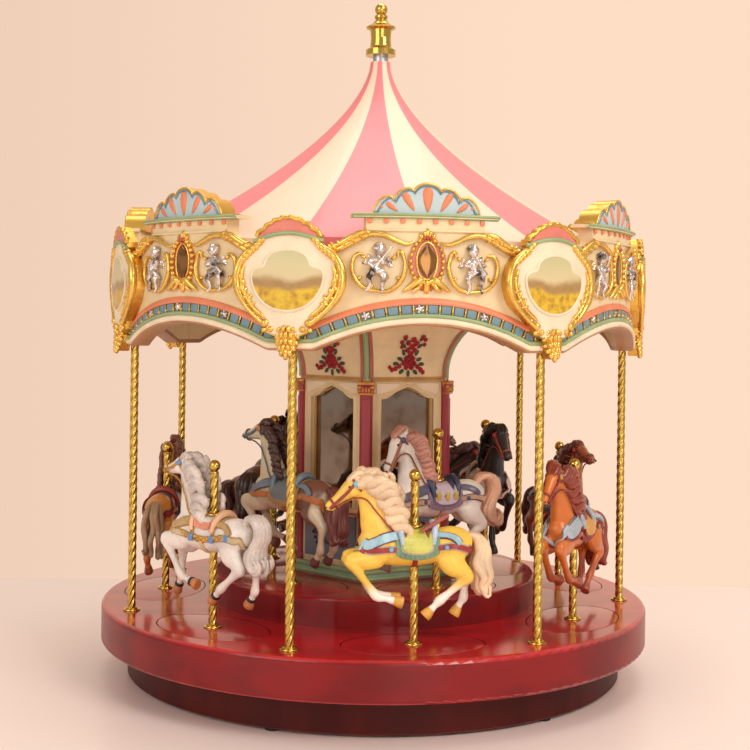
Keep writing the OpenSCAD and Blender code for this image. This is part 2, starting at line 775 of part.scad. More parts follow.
module column_frames() {
    board_w = face_w - pillar_w - 2 * slack;
    color("#e8cf96") for (i = [0 : inner_count - 1]) face(i)
        translate([0, face_t, platform_top]) rotate([90, 0, 0]) linear_extrude(face_t) difference() {
            translate([-board_w / 2, 0]) square([board_w, column_h]);
            mirror_outline(mirror_w, rail_top, mirror_shoulder, mirror_crown);
        }
    color("#5d7288") for (i = [0 : inner_count - 1]) face(i)
        translate([0, face_t, platform_top]) rotate([90, 0, 0])
            translate([-board_w / 2 + 4, base_h + 4, face_t]) cube([board_w - 8, rail_top - base_h - 9, 1]);
}

module column_mirrors() {
    glass_t = 2;
    color("#c8ccd0") for (i = [0 : inner_count - 1]) face(i)
        translate([0, face_t + glass_t, platform_top]) rotate([90, 0, 0]) linear_extrude(glass_t)
            mirror_outline(mirror_w + 2, rail_top - 2, mirror_shoulder + 2, mirror_crown);
}

module column_pillars() {
    half = 180 / inner_count;
    reach = pillar_w / 2;
    side = [reach * cos(half), reach * sin(half)];
    back = [side[0] - face_t * sin(half), side[1] + face_t * cos(half)];
    cap_h = 9;
    color("#9c2f3c") for (i = [0 : inner_count - 1]) at(column_turn + (i + 0.5) * inner_step, column_r)
        translate([0, 0, platform_top]) {
            linear_extrude(column_h) polygon([
                [-reach, 0.8], [-reach / 2, -1.2], [reach / 2, -1.2], [reach, 0.8],
                side, back, [-back[0], back[1]], [-side[0], side[1]]
            ]);
            translate([-reach - 1, -2.6, column_h - cap_h]) cube([pillar_w + 2, 3.4, cap_h]);
        }
}

module column_base() {
    half = 180 / inner_count;
    r_in = column_r + 3.1;
    wall = 2.8;
    color("#8fae92") difference() {
        translate([0, 0, platform_top]) rotate([0, 0, column_turn - 90 + half])
            cylinder(r = r_in + wall, h = base_h, $fn = 5);
        translate([0, 0, platform_top - 1]) rotate([0, 0, column_turn - 90 + half])
            cylinder(r = r_in, h = base_h + 2, $fn = 5);
    }
}

// Cove: five panels that curve outwards from the column to the ceiling
module cove_panels() {
    half = 180 / inner_count;
    wall = 2.5;
    rise = ceiling_bottom - cove_start;
    last = asin(min(0.999, rise / cove_r));
    steps = 8;
    outer = [for (i = [0 : steps]) let (a = last * i / steps)
        [face_dist + cove_r * (1 - cos(a)), cove_start + cove_r * sin(a)]];
    color("#e0bd80") for (i = [0 : inner_count - 1]) rotate([0, 0, column_turn + i * inner_step])
        intersection() {
            rotate([90, 0, -90]) translate([0, 0, -face_dist * 2]) linear_extrude(face_dist * 4)
                polygon(concat(
                    [[face_dist, column_top]], outer,
                    [for (i = [steps : -1 : 0]) [outer[i][0] - wall - 0.25 * i, outer[i][1]]],
                    [[face_dist - wall, column_top]]
                ));
            linear_extrude(ceiling_bottom) polygon([
                [0, 0], [-face_dist * 3 * tan(half - 0.05), -face_dist * 3], [face_dist * 3 * tan(half - 0.05), -face_dist * 3]
            ]);
        }
}

// ---------------------------------------------------------------- canopy

module ceiling() {
    color("#e0bd80") translate([0, 0, ceiling_bottom]) ring(board_in_r - slack, rod_r + fit, ceiling_t);
}

module canopy_poles() {
    height = board_bottom;
    color("#c9a24a") for (i = [0 : outer_count - 1]) at((i + 0.5) * outer_step, post_ring_r)
        translate([0, 0, deck_top]) {
            translate([0, 0, -7]) cylinder(r = post_r - 0.5, h = 8, $fn = 32);
            cylinder(r = 2 * post_r, h = 1.2, $fn = 48);
            translate([0, 0, 1.2]) cylinder(r = 1.5 * post_r, h = 1, $fn = 48);
            cylinder(r = post_r, h = height, $fn = 48);
        }
}

function along(angle) = board_r * sin(angle);

// A curved plate: what an outline, drawn flat in X and Z, covers of a ring
module curved_plate(r_out, r_in, low, high) {
    intersection() {
        translate([0, 0, low - 1]) ring(r_out, r_in, high - low + 2);
        rotate([90, 0, 0]) translate([0, 0, r_in * 0.8]) linear_extrude(r_out) children();
    }
}

// The part of its children that lies within an angle each way of the front
module sector(half) {
    reach = 2 * board_r;
    intersection() {
        children();
        linear_extrude(roof_z) polygon([[0, 0], [-reach * sin(half), -reach * cos(half)],
                                        [0, -reach * 2], [reach * sin(half), -reach * cos(half)]]);
    }
}

// Height of the boards' lower edge above their flats, at an angle from a panel's middle
function arch(angle) =
    let (t = min(1, abs(angle) / (outer_step / 2 - flat_angle)))
    arch_rise * (1 - t * t);

function arch_edge(low, high, steps, z0) = [
    for (i = [0 : steps]) let (a = low + (high - low) * i / steps) [along(a), z0 + arch(a)]
];

// A panel's face: arched below, with a neck under the cornice and shoulders beside it
module board_outline() {
    half = outer_step / 2;
    neck_low = cornice_z - 10;
    drop = 13.5;
    shoulder_run = half - 6.2 - panel_top_angle;
    shoulder = [
        for (i = [0 : 6]) let (t = i / 6) [along(panel_top_angle + shoulder_run * t), neck_low - drop * t * (2 - t)]
    ];
    polygon(concat(
        arch_edge(-half, half, 32, board_z),
        [[along(half), neck_low - drop]],
        [for (i = [6 : -1 : 0]) shoulder[i]],
        [[along(panel_top_angle), cornice_z], [-along(panel_top_angle), cornice_z]],
        [for (p = shoulder) [-p[0], p[1]]],
        [[-along(half), neck_low - drop]]
    ));
}

module rounding_boards() {
    color("#efe0bd") for (i = [0 : outer_count - 1]) rotate([0, 0, i * outer_step]) {
        sector(outer_step / 2 - board_gap_angle) curved_plate(board_r, board_in_r, board_z, cornice_z) board_outline();
        curved_plate(board_r + cornice_out, board_in_r, cornice_z, cornice_z + cornice_h)
            translate([-along(cornice_angle), cornice_z]) square([2 * along(cornice_angle), cornice_h]);
    }
}

// Fan crest: five round lobes over a panel's cornice, each [angle, centre height, radius], in shares of fan_h
fan_lobes = [[0, 0.51, 0.49], [4.7, 0.46, 0.32], [8.5, 0.19, 0.32]];

module fan_lobe(x, height, radius) {
    translate([x, height]) circle(r = radius, $fn = 48);
    translate([x - radius, 0]) square([2 * radius, height]);
}

module fan_crests() {
    color("#a9bcc4") for (i = [0 : outer_count - 1]) rotate([0, 0, i * outer_step])
        translate([0, 0, cornice_z + cornice_h]) curved_plate(board_r, board_r - fan_d, 0, fan_h) intersection() {
            union() {
                for (lobe = fan_lobes)
                    for (side = [-1, 1]) fan_lobe(side * along(lobe[0]), lobe[1] * fan_h, lobe[2] * fan_h);
            }
            translate([-60, 0]) square([120, 2 * fan_h]);
        }
}

// Medallion: shield with a scalloped crest, over the joint of two boards
module medallion_outline() {
    low = board_z + 12;
    wide = board_z + 47;
    neck = board_z + 70;
    crest = board_z + 88;
    foot_w = 0.45 * medallion_w;
    crest_w = 0.6 * medallion_w;
    bulge = 0.51 * medallion_w;
    right = concat(
        [[foot_w / 2, low - 3], [foot_w - 1, low], [foot_w, low + 6]],
        [for (i = [0 : 8]) let (a = -60 + 15 * i) [medallion_w - bulge + bulge * cos(a), wide + 23 * sin(a)]],
        [[crest_w - 3, neck], [crest_w, neck + 2], [crest_w, neck + 5]],
        [for (i = [0 : 9]) let (t = i / 9)
            [crest_w * (1 - t), neck + 6 + (crest - neck - 6) * sin(90 * t) - (i % 2) * 1.6]]
    );
    polygon(concat(right, [for (i = [len(right) - 2 : -1 : 0]) [-right[i][0], right[i][1]]]));
}

module medallions() {
    boss_z = board_z + 3;
    back_r = board_r + slack / 2;
    color("#d8a03c") for (i = [0 : outer_count - 1]) rotate([0, 0, (i + 0.5) * outer_step]) {
        curved_plate(back_r + medallion_t, back_r, board_z, cornice_z + 5) medallion_outline();
        curved_plate(back_r + medallion_t + 1.5, back_r, board_z - 5, board_z + 13)
            hull() {
                translate([0, boss_z + 3]) circle(r = 7, $fn = 32);
                translate([0, boss_z - 5]) circle(r = 2.5, $fn = 32);
            }
    }
}

function roof_r(z, inset) =
    let (u = (roof_z - z) / (roof_z - eave_z))
    roof_neck_r + (eave_r - roof_neck_r) * pow(u, roof_power) - inset;

module roof_shell() {
    steps = 22;
    z = [for (i = [0 : steps]) eave_z + (roof_z - eave_z) * i / steps];
    color("#f6a8a4") rotate_extrude($fn = 144) polygon(concat(
        [for (h = z) [roof_r(h, 0), h]],
        [for (i = [steps : -1 : 0]) [max(rod_r + 1.5, roof_r(z[i], roof_t / cos(40))), z[i]]]
    ));
}

module tie_rod() {
    color("silver") {
        translate([0, 0, pocket_top - 6]) cylinder(r = rod_r, h = finial_z + 10 - pocket_top + 6, $fn = 32);
        translate([0, 0, roof_z]) cylinder(r = roof_neck_r - 2, h = neck_h, $fn = 32);
    }
}

// Turned brass finial: foot flange, drum, bell and ball
module finial() {
    flange_r = 12;
    drum_r2 = 8.6;
    bell_z = 22;
    color("#c9a24a") difference() {
        translate([0, 0, finial_z]) {
            rotate_extrude() polygon([
                [0, 0], [flange_r, 0], [flange_r, 4.5], [drum_r2 + 0.6, 6.2],
                [drum_r2, 7.5], [drum_r2 - 0.5, 14], [drum_r2, 20.5], [flange_r - 0.4, bell_z],
                [flange_r, bell_z + 1], [8, bell_z + 3.2], [5.2, bell_z + 6], [4.4, bell_z + 7.5],
                [5.3, bell_z + 8.4], [5.3, bell_z + 10.2], [3.6, bell_z + 11.4], [0, bell_z + 11.4]
            ]);
            translate([0, 0, bell_z + 15.4]) sphere(r = 5.1, $fn = 48);
        }
        translate([0, 0, finial_z - 1]) cylinder(r = rod_r + fit, h = 11.5, $fn = 32);
    }
}

plinth();
bottom_cover();
rubber_feet();
cover_screws();
lower_race();
bedplate();
movement_brackets();
governor_block();
comb();
movement_screws();
bearing_cage();
winding_arbor();
winding_key();
pin_cylinder();
governor_idler();
governor_fan();
deck();
platform();
upper_race();
drive_shaft();
spring_barrel();
crown_wheel();
mainspring();
column_frames();
column_mirrors();
column_pillars();
column_base();
cove_panels();
ceiling();
canopy_poles();
rounding_boards();
fan_crests();
medallions();
roof_shell();
finial();
tie_rod();
outer_stand(0);  // outer_stand_1
outer_stand(1);  // outer_stand_2
outer_stand(2);  // outer_stand_3
outer_stand(3);  // outer_stand_4
outer_stand(4);  // outer_stand_5
outer_stand(5);  // outer_stand_6
outer_stand(6);  // outer_stand_7
outer_horse(0);  // outer_horse_1
outer_horse(1);  // outer_horse_2
outer_horse(2);  // outer_horse_3
outer_horse(3);  // outer_horse_4
outer_horse(4);  // outer_horse_5
outer_horse(5);  // outer_horse_6
outer_horse(6);  // outer_horse_7
inner_stand(0);  // inner_stand_1
inner_stand(1);  // inner_stand_2
inner_stand(2);  // inner_stand_3
inner_stand(3);  // inner_stand_4
inner_stand(4);  // inner_stand_5
inner_horse(0);  // inner_horse_1
inner_horse(1);  // inner_horse_2
inner_horse(2);  // inner_horse_3
inner_horse(3);  // inner_horse_4
inner_horse(4);  // inner_horse_5
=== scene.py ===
"""Wind-up carousel music box: finishes, carved ornaments and figures around its solid frame."""
import random
from math import acos, asin, atan, copysign, cos, hypot, pi, radians, sin, sqrt, tau

import bpy
from mathutils import Matrix, Vector


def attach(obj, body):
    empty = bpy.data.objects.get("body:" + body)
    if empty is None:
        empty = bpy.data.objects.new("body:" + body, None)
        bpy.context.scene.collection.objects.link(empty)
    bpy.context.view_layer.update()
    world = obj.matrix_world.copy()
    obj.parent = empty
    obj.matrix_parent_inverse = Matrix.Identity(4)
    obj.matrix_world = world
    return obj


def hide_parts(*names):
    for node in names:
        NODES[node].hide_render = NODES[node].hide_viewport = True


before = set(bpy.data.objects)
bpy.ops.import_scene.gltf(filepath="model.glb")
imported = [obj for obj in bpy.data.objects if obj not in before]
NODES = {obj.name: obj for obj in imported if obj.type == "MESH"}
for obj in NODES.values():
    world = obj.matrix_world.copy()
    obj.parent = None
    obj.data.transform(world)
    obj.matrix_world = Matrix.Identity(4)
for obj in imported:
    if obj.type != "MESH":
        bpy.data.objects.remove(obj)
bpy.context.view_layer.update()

# Sizes of the music box in millimetres
MM = 0.001
DECK_TOP = 56.4
PLATFORM_TOP = 77.4
BOARD_R = 200.5                          # outer face of the rounding boards
BOARD_Z = 255.4                          # their lower edge, at the ends of a panel
CORNICE_Z = 343.4
COLUMN_R = 61.5                          # the column's corners
FACE_DIST = 49.75                        # the column's faces
COLUMN_TURN = 19.8                       # degrees
OUTER = 7
INNER = 5
OUTER_STEP = 360 / OUTER
INNER_STEP = 360 / INNER
HALF_PANEL = OUTER_STEP / 2              # half of one panel, in degrees
OUTER_RING_R = 170.0
INNER_RING_R = 92.5
INNER_TURN = 21.0
POST_RING_R = 196.0
POLE_R = 3.1
POLE_TOP = 119.0
STAND_T = 6.0
SEAM = 0.004                             # vertices closer than this are one

# The slot that each ornament finish belongs to; the others belong to cream paint
SLOT_FINISHES = {
    "gold_paint": ("rubbed_gold", "bright_gold", "dark_mottled_silver", "bronze_paint"),
    "sage_paint": ("mint_paint", "leaf_green"),
    "maroon_paint": ("crimson_paint", "maroon_paint", "rose_paint", "terracotta_paint", "pillar_rose", "dark_rose"),
    "pale_blue_paint": ("sky_paint", "dado_paint"),
    "mirror_glass": ("dark_glass",),
}


# ---------------------------------------------------------------- workshop tools

def bare():
    """Nothing selected and nothing in edit mode."""
    if bpy.context.object and bpy.context.object.mode != "OBJECT":
        bpy.ops.object.mode_set(mode="OBJECT")
    bpy.ops.object.select_all(action="DESELECT")


def pick(obj):
    """One piece selected and active."""
    bare()
    obj.select_set(True)
    bpy.context.view_layer.objects.active = obj
    return obj


def mend(obj, outward=True):
    """Closes the seams of a mesh and turns its faces outwards."""
    pick(obj)
    bpy.ops.object.mode_set(mode="EDIT")
    bpy.ops.mesh.select_all(action="SELECT")
    bpy.ops.mesh.remove_doubles(threshold=SEAM)
    if outward:
        bpy.ops.mesh.normals_make_consistent(inside=False)
    bpy.ops.object.mode_set(mode="OBJECT")
    return obj


def form(cols, rows, shape, outward=True):
    """A grid whose corners go where shape(u, v) says, u and v from 0 to 1."""
    bare()
    bpy.ops.mesh.primitive_grid_add(x_subdivisions=cols, y_subdivisions=rows, size=2)
    obj = bpy.context.object
    for v in obj.data.vertices:
        v.co = shape(v.co.x / 2 + 0.5, v.co.y / 2 + 0.5)
    return mend(obj, outward)


def facing(obj, sample, away=(0, 1, 0)):
    """Turns a thin piece over where its sample face looks away from its front."""
    if obj.data.polygons[sample].normal.dot(Vector(away)) > 0:
        obj.data.flip_normals()
    return obj


def turned(profile, steps):
    """A lathe-turned shape from its profile [(radius, height)]."""
    last = len(profile) - 1

    def shape(u, v):
        r, z = profile[min(last, round(v * last))]
        return Vector((r * cos(u * tau), r * sin(u * tau), z))
    return form(steps, last, shape)


def strands(lines, thick, closed=False, sides=2, smooth=4):
    """Rounded strands, each through points (x, y, z) or (x, y, z, share of the thickness)."""
    bare()
    curve = bpy.data.curves.new("strand", "CURVE")
    curve.dimensions = "3D"
    curve.bevel_depth = thick
    curve.bevel_resolution = sides
    curve.use_fill_caps = True
    curve.resolution_u = smooth
    for points in lines:
        line = curve.splines.new("BEZIER")
        line.bezier_points.add(len(points) - 1)
        for knot, p in zip(line.bezier_points, points):
            knot.co = p[:3]
            knot.radius = p[3] if len(p) > 3 else 1.0
            knot.handle_left_type = knot.handle_right_type = "AUTO"
        line.use_cyclic_u = closed
    obj = bpy.data.objects.new("strand", curve)
    bpy.context.collection.objects.link(obj)
    pick(obj)
    bpy.ops.object.convert(target="MESH")
    return bpy.context.object


def strand(points, thick, closed=False, sides=2, smooth=4):
    """One rounded strand."""
    return strands([points], thick, closed, sides, smooth)


def plate(outline, depth, edge):
    """A flat piece cut to an outline [(x, z)], its front at +depth in -Y, with rounded edges."""
    bare()
    curve = bpy.data.curves.new("plate", "CURVE")
    curve.dimensions = "2D"
    curve.fill_mode = "BOTH"
    curve.extrude = max(0.0, depth / 2 - edge)
    curve.bevel_depth = edge
    curve.bevel_resolution = 2
    curve.offset = -edge
    line = curve.splines.new("POLY")
    line.points.add(len(outline) - 1)
    for knot, (x, z) in zip(line.points, outline):
        knot.co = (x, z, 0, 1)
    line.use_cyclic_u = True
    obj = bpy.data.objects.new("plate", curve)
    bpy.context.collection.objects.link(obj)
    pick(obj)
    bpy.ops.object.convert(target="MESH")
    obj = bpy.context.object
    obj.data.transform(at(0, -depth / 2, 0) @ Matrix.Rotation(pi / 2, 4, "X"))
    return mend(obj)


def bead(x, y, z, rx, ry, rz, segments=12, rings=8):
    """An oval bead round a point."""
    bare()
    bpy.ops.mesh.primitive_uv_sphere_add(segments=segments, ring_count=rings, radius=1)
    obj = bpy.context.object
    obj.data.transform(at(x, y, z) @ Matrix.Diagonal((rx, ry, rz, 1)))
    obj.matrix_world = Matrix.Identity(4)
    return obj


def block(x0, x1, y0, y1, z0, z1, edge):
    """A block with rounded edges."""
    bare()
    bpy.ops.mesh.primitive_cube_add(size=1)
    obj = bpy.context.object
    obj.data.transform(at((x0 + x1) / 2, (y0 + y1) / 2, (z0 + z1) / 2)
                       @ Matrix.Diagonal((x1 - x0, y1 - y0, z1 - z0, 1)))
    bpy.ops.object.mode_set(mode="EDIT")
    bpy.ops.mesh.select_all(action="SELECT")
    bpy.ops.mesh.bevel(offset=edge, segments=2, profile=0.6, affect="EDGES")
    bpy.ops.object.mode_set(mode="OBJECT")
    return obj


def at(x, y, z):
    """A move to a point."""
    return Matrix.Translation((x, y, z))


def tilt(angle, axis):
    """A turn in degrees about an axis."""
    return Matrix.Rotation(radians(angle), 4, axis)


def moved(obj, matrix):
    """Moves a piece inside its own mesh; a mirrored one keeps its faces outwards."""
    obj.data.transform(matrix)
    if matrix.determinant() < 0:
        obj.data.flip_normals()
    return obj


def twin(obj, matrix=None):
    """A copy with its own mesh."""
    copy = obj.copy()
    copy.data = obj.data.copy()
    bpy.context.collection.objects.link(copy)
    return moved(copy, matrix) if matrix else copy


def joined(objs):
    """Several pieces as one."""
    bare()
    for obj in objs:
        obj.select_set(True)
    bpy.context.view_layer.objects.active = objs[0]
    if len(objs) > 1:
        bpy.ops.object.join()
    return bpy.context.object


def changed(obj, kind, **settings):
    """Adds a modifier, sets it and applies it."""
    pick(obj)
    step = obj.modifiers.new(kind.lower(), kind)
    for key, value in settings.items():
        setattr(step, key, value)
    bpy.ops.object.modifier_apply(modifier=step.name)
    return obj


def bent(obj):
    """Wraps a flat ornament, long along X with its back at y = 0, around the canopy."""
    for v in obj.data.vertices:
        angle = v.co.x / BOARD_R
        r = BOARD_R - v.co.y
        v.co = (r * sin(angle), -r * cos(angle), v.co.z)
    return obj


def ring_place(angle, radius, z):
    """A place on a ring, turned to face outwards."""
    return tilt(angle, "Z") @ at(0, -radius, z)


def around(obj, count, turn=0.0, radius=0.0, z=0.0):
    """The same ornament at every place of a ring, as one piece."""
    step = 360 / count
    copies = [twin(obj, ring_place(turn + i * step, radius, z)) for i in range(1, count)]
    moved(obj, ring_place(turn, radius, z))
    return joined([obj] + copies)


def slot_of(finish):
    """The slot that an ornament finish belongs to, by its name without the number that Blender may add."""
    name = finish.name.split(".")[0]
    for slot, names in SLOT_FINISHES.items():
        if name in names:
            return slot
    return "cream_paint"


def settle(obj, name, finish, body="turntable", smooth=40, slot=None, replaces=()):
    """Gives a finished piece its name, finish and body, in metres."""
    obj.data.transform(Matrix.Diagonal((MM, MM, MM, 1)))
    obj.name = name
    obj.data.name = name
    obj.data.materials.clear()
    obj.data.materials.append(finish)
    pick(obj)
    bpy.ops.object.shade_smooth_by_angle(angle=radians(smooth))
    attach(obj, body)
    if replaces:
        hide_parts(*replaces)
    return obj


# ---------------------------------------------------------------- finishes

class Wire:
    """A shader socket that takes part in sums."""

    def __init__(self, finish, socket):
        self.finish = finish
        self.socket = socket

    def sum(self, operation, *values):
        """The result of one sum on the values."""
        return self.finish.node("ShaderNodeMath", {"operation": operation}, *values)

    def __add__(self, other):
        return self.sum("ADD", self, other)

    def __sub__(self, other):
        return self.sum("SUBTRACT", self, other)

    def __mul__(self, other):
        return self.sum("MULTIPLY", self, other)

    def __truediv__(self, other):
        return self.sum("DIVIDE", self, other)

    def __rsub__(self, other):
        return self.sum("SUBTRACT", other, self)

    def __gt__(self, other):
        return self.sum("GREATER_THAN", self, other)

    def __lt__(self, other):
        return self.sum("LESS_THAN", self, other)

    def __abs__(self):
        return self.sum("ABSOLUTE", self)

    __radd__ = __add__
    __rmul__ = __mul__

    def step(self, low, high):
        """0 below low, 1 above high, soft between."""
        return self.finish.node("ShaderNodeMapRange", {"interpolation_type": "SMOOTHSTEP"}, self, low, high, 0.0, 1.0)


class Finish:
    """A surface finish: one Principled shader and the pattern that feeds it."""

    def __init__(self, name, rough=0.5, metal=0.0, coat=0.0):
        self.mat = bpy.data.materials.new(name)
        self.mat.use_nodes = True
        self.tree = self.mat.node_tree
        self.shader = self.tree.nodes["Principled BSDF"]
        self.set("Roughness", rough)
        self.set("Metallic", metal)
        self.set("Coat Weight", coat)
        if coat:
            self.set("Coat Roughness", 0.06)
        coord = self.tree.nodes.new("ShaderNodeTexCoord")
        self.place = Wire(self, coord.outputs["Object"])

    def set(self, socket, value):
        """Links a wire to a socket of the shader, or sets its value."""
        if isinstance(value, Wire):
            self.tree.links.new(value.socket, self.shader.inputs[socket])
        else:
            if isinstance(value, tuple) and len(value) == 3:
                value = (*value, 1.0)
            self.shader.inputs[socket].default_value = value

    def node(self, kind, settings, *values, **named):
        """A node with its inputs in order or by name; gives its first output."""
        made = self.tree.nodes.new(kind)
        for key, value in settings.items():
            setattr(made, key, value)
        for key, value in [*enumerate(values), *named.items()]:
            if isinstance(value, Wire):
                self.tree.links.new(value.socket, made.inputs[key])
            else:
                made.inputs[key].default_value = value
        return Wire(self, made.outputs[0])

    def noise(self, scale, detail=3.0, stretch=None, seed=0.0):
        """Grey cloudiness; scale is in spots per metre."""
        place = self.place
        if stretch or seed:
            place = self.node("ShaderNodeMapping", {}, place, (seed, seed * 1.7, 0.0), (0.0, 0.0, 0.0),
                              stretch or (1.0, 1.0, 1.0))
        return self.node("ShaderNodeTexNoise", {}, place, Scale=scale, Detail=detail)

    def mix(self, share, a, b):
        """Blends two colours."""
        made = self.tree.nodes.new("ShaderNodeMix")
        made.data_type = "RGBA"
        for socket, value in ((made.inputs[0], share), (made.inputs[6], a), (made.inputs[7], b)):
            if isinstance(value, Wire):
                self.tree.links.new(value.socket, socket)
            else:
                socket.default_value = (*value, 1.0) if isinstance(value, tuple) else value
        return Wire(self, made.outputs[2])

    def axes(self):
        """The object's own X, Y and Z, in metres."""
        made = self.tree.nodes.new("ShaderNodeSeparateXYZ")
        self.tree.links.new(self.place.socket, made.inputs[0])
        return [Wire(self, made.outputs[i]) for i in range(3)]

    def bump(self, height, depth, strength=1.0):
        """Relief of the given depth in metres."""
        self.set("Normal", self.node("ShaderNodeBump", {}, Strength=strength, Distance=depth, Height=height))
        return self.mat


def lin(r, g, b):
    """A colour as seen on paper, 0 to 255, as light."""
    return tuple((c / 255 / 12.92) if c <= 10 else ((c / 255 + 0.055) / 1.055) ** 2.4 for c in (r, g, b))


def darker(colour, share):
    """A share of a colour's light."""
    return tuple(c * share for c in colour)


def painted(name, colour, rough=0.42, wash=0.25, grain=900, coat=0.0, shade=0.55):
    """Hand paint over cast resin: brush wash, faint mottling and tiny hollows."""
    f = Finish(name, rough=rough, coat=coat)
    cloud = f.noise(60, 4)
    fine = f.noise(grain, 3, seed=3.0)
    mottle = (cloud * 0.7 + fine * 0.3).step(0.38, 0.66)
    f.set("Base Color", f.mix((1 - mottle) * wash, colour, darker(colour, shade)))
    f.set("Roughness", rough - 0.08 + fine * 0.16)
    return f.bump(cloud * 0.4 + fine * 0.6, 0.00008, 0.6)


def gilded(name, bright, dark, rough=0.28, metal=0.9, wear=0.35):
    """Rubbed gold paint: bright metal over a warm brown ground."""
    f = Finish(name, rough=rough, metal=metal)
    cloud = f.noise(140, 4)
    fine = f.noise(1500, 2, seed=5.0)
    dull = (cloud * 0.75 + fine * 0.25).step(0.47, 0.64)
    f.set("Base Color", f.mix(dull * wear, bright, dark))
    f.set("Roughness", rough + dull * 0.2)
    return f.bump(cloud * 0.5 + fine * 0.5, 0.00012, 0.5)


def plain_metal(name, colour, rough):
    """Bare metal with fine lines round it."""
    f = Finish(name, rough=rough, metal=1.0)
    lines = f.noise(700, 3, (1.0, 1.0, 14.0))
    f.set("Base Color", f.mix(lines.step(0.3, 0.7) * 0.35, colour, darker(colour, 0.72)))
    f.set("Roughness", rough - 0.06 + lines * 0.14)
    return f.bump(lines, 0.00003, 0.4)


UPRIGHT_SHADE = 0.44                      # painted shade: how much of the stain's light an upright face keeps
UPRIGHT_DULL = 0.55                      # how much of the gloss an upright face lacks


def lacquered(name, light, dark, streak, rough=0.15, coat=1.0, seed=0.0):
    """Stained wood under a gloss lacquer, its grain along one axis, and its upright faces painted darker as shade."""
    f = Finish(name, rough=0.5, coat=coat)
    f.set("Coat Roughness", rough)
    f.set("Coat IOR", 1.6)
    f.set("Specular IOR Level", 0.1)
    grain = f.noise(34, 5, streak, seed)
    pores = f.noise(260, 2, streak, seed + 2.0)
    colour = f.mix(grain.step(0.36, 0.64) * 0.5, light, dark)
    colour = f.mix((pores > 0.6) * 0.2, colour, dark)
    facing = f.tree.nodes.new("ShaderNodeNewGeometry")
    split = f.tree.nodes.new("ShaderNodeSeparateXYZ")
    f.tree.links.new(facing.outputs["Normal"], split.inputs[0])
    upright = 1 - abs(Wire(f, split.outputs[2])).step(0.2, 0.8)
    # Painted shade: upright faces take a darker copy of the same stain, as if they stood in shade
    deep = f.mix(grain.step(0.36, 0.64) * 0.5, darker(light, UPRIGHT_SHADE), darker(dark, UPRIGHT_SHADE))
    f.set("Base Color", f.mix(upright, colour, deep))
    f.set("Coat Weight", coat * (1 - upright * UPRIGHT_DULL))
    return f.bump(pores, 0.000012, 0.2)


# Paints and metals, their colours as they look on paper
gold = gilded("rubbed_gold", lin(232, 184, 86), lin(128, 84, 32))
bright_gold = gilded("bright_gold", lin(242, 198, 102), lin(150, 98, 38), rough=0.22, wear=0.3)
# Silver with large near-black patches scattered at random over most of it
dark_mottled_silver = gilded("dark_mottled_silver", lin(228, 216, 210), lin(40, 30, 28), rough=0.24, wear=0.95)
brass = plain_metal("polished_brass", lin(214, 178, 88), rough=0.15)
cream = painted("cream_paint", lin(240, 216, 170))
ivory = painted("ivory_paint", lin(246, 228, 196), wash=0.3)
mint = painted("mint_paint", lin(158, 178, 128), wash=0.35)
coral = painted("coral_paint", lin(236, 140, 98), wash=0.3)
slate = painted("slate_paint", lin(118, 148, 160), wash=0.35, shade=0.5)
sky = painted("sky_paint", lin(190, 210, 214), wash=0.25, shade=0.6)
sea_green = painted("sea_green_paint", lin(150, 186, 160), wash=0.35)
crimson = painted("crimson_paint", lin(176, 26, 44), wash=0.5, shade=0.4)
maroon = painted("maroon_paint", lin(168, 56, 66), wash=0.3)
shell_pink = painted("shell_pink_paint", lin(228, 132, 116), wash=0.4)
rose = painted("rose_paint", lin(226, 128, 124), wash=0.4)
# Painted shade: a brown that stands for the shadow under the boards' cream edge
painted_shade_brown = painted("painted_shade_brown", lin(188, 136, 92), wash=0.4)
leaf_green = painted("leaf_green", lin(58, 84, 52), wash=0.6, shade=0.4)
cherry = lacquered("cherry_lacquer", lin(194, 17, 25), lin(120, 8, 13), (0.35, 1.0, 1.0))
cherry_cross = lacquered("cherry_lacquer_cross", lin(188, 17, 24), lin(116, 8, 13), (1.0, 0.35, 1.0), seed=4.0)
foot_wood = lacquered("foot_wood", lin(118, 34, 28), lin(74, 18, 15), (1.0, 1.0, 0.3), rough=0.3, coat=0.3)
hardboard = painted("hardboard", lin(120, 84, 54), rough=0.8, grain=2400)
rubber = painted("black_rubber", lin(34, 33, 32), rough=0.85)
zinc = plain_metal("zinc_steel", lin(190, 192, 196), rough=0.34)
spring_steel = plain_metal("spring_steel", lin(92, 104, 118), rough=0.28)
works_brass = plain_metal("works_brass", lin(214, 170, 88), rough=0.32)
nylon = painted("white_nylon", lin(230, 226, 212), rough=0.5, wash=0.1)


def glass_finish():
    """Silvered glass with faint clouding."""
    f = Finish("mirror_glass", rough=0.05, metal=1.0)
    haze = f.noise(50, 3).step(0.42, 0.75)
    f.set("Base Color", f.mix(haze, lin(150, 134, 120), lin(114, 92, 76)))
    f.set("Roughness", 0.04 + haze * 0.05)
    return f.mat


def tent_finish():
    """Painted stripes that run down the roof, two to each canopy panel."""
    f = Finish("striped_roof", rough=0.45, coat=0.15)
    x, y, _ = f.axes()
    turn = x.sum("ARCTAN2", x, 0 - y)
    stripe = turn.sum("SINE", turn * OUTER)
    cloud = f.noise(30, 4)
    fine = f.noise(700, 2, seed=2.0)
    pink = f.mix(cloud * 0.4, lin(242, 134, 138), lin(228, 110, 118))
    pale = f.mix(cloud * 0.5, lin(244, 218, 191), lin(231, 198, 164))
    f.set("Base Color", f.mix(stripe.step(-0.012, 0.012), pink, pale))
    return f.bump(cloud * 0.5 + fine * 0.5, 0.0001, 0.4)


mirror = glass_finish()
tent = tent_finish()

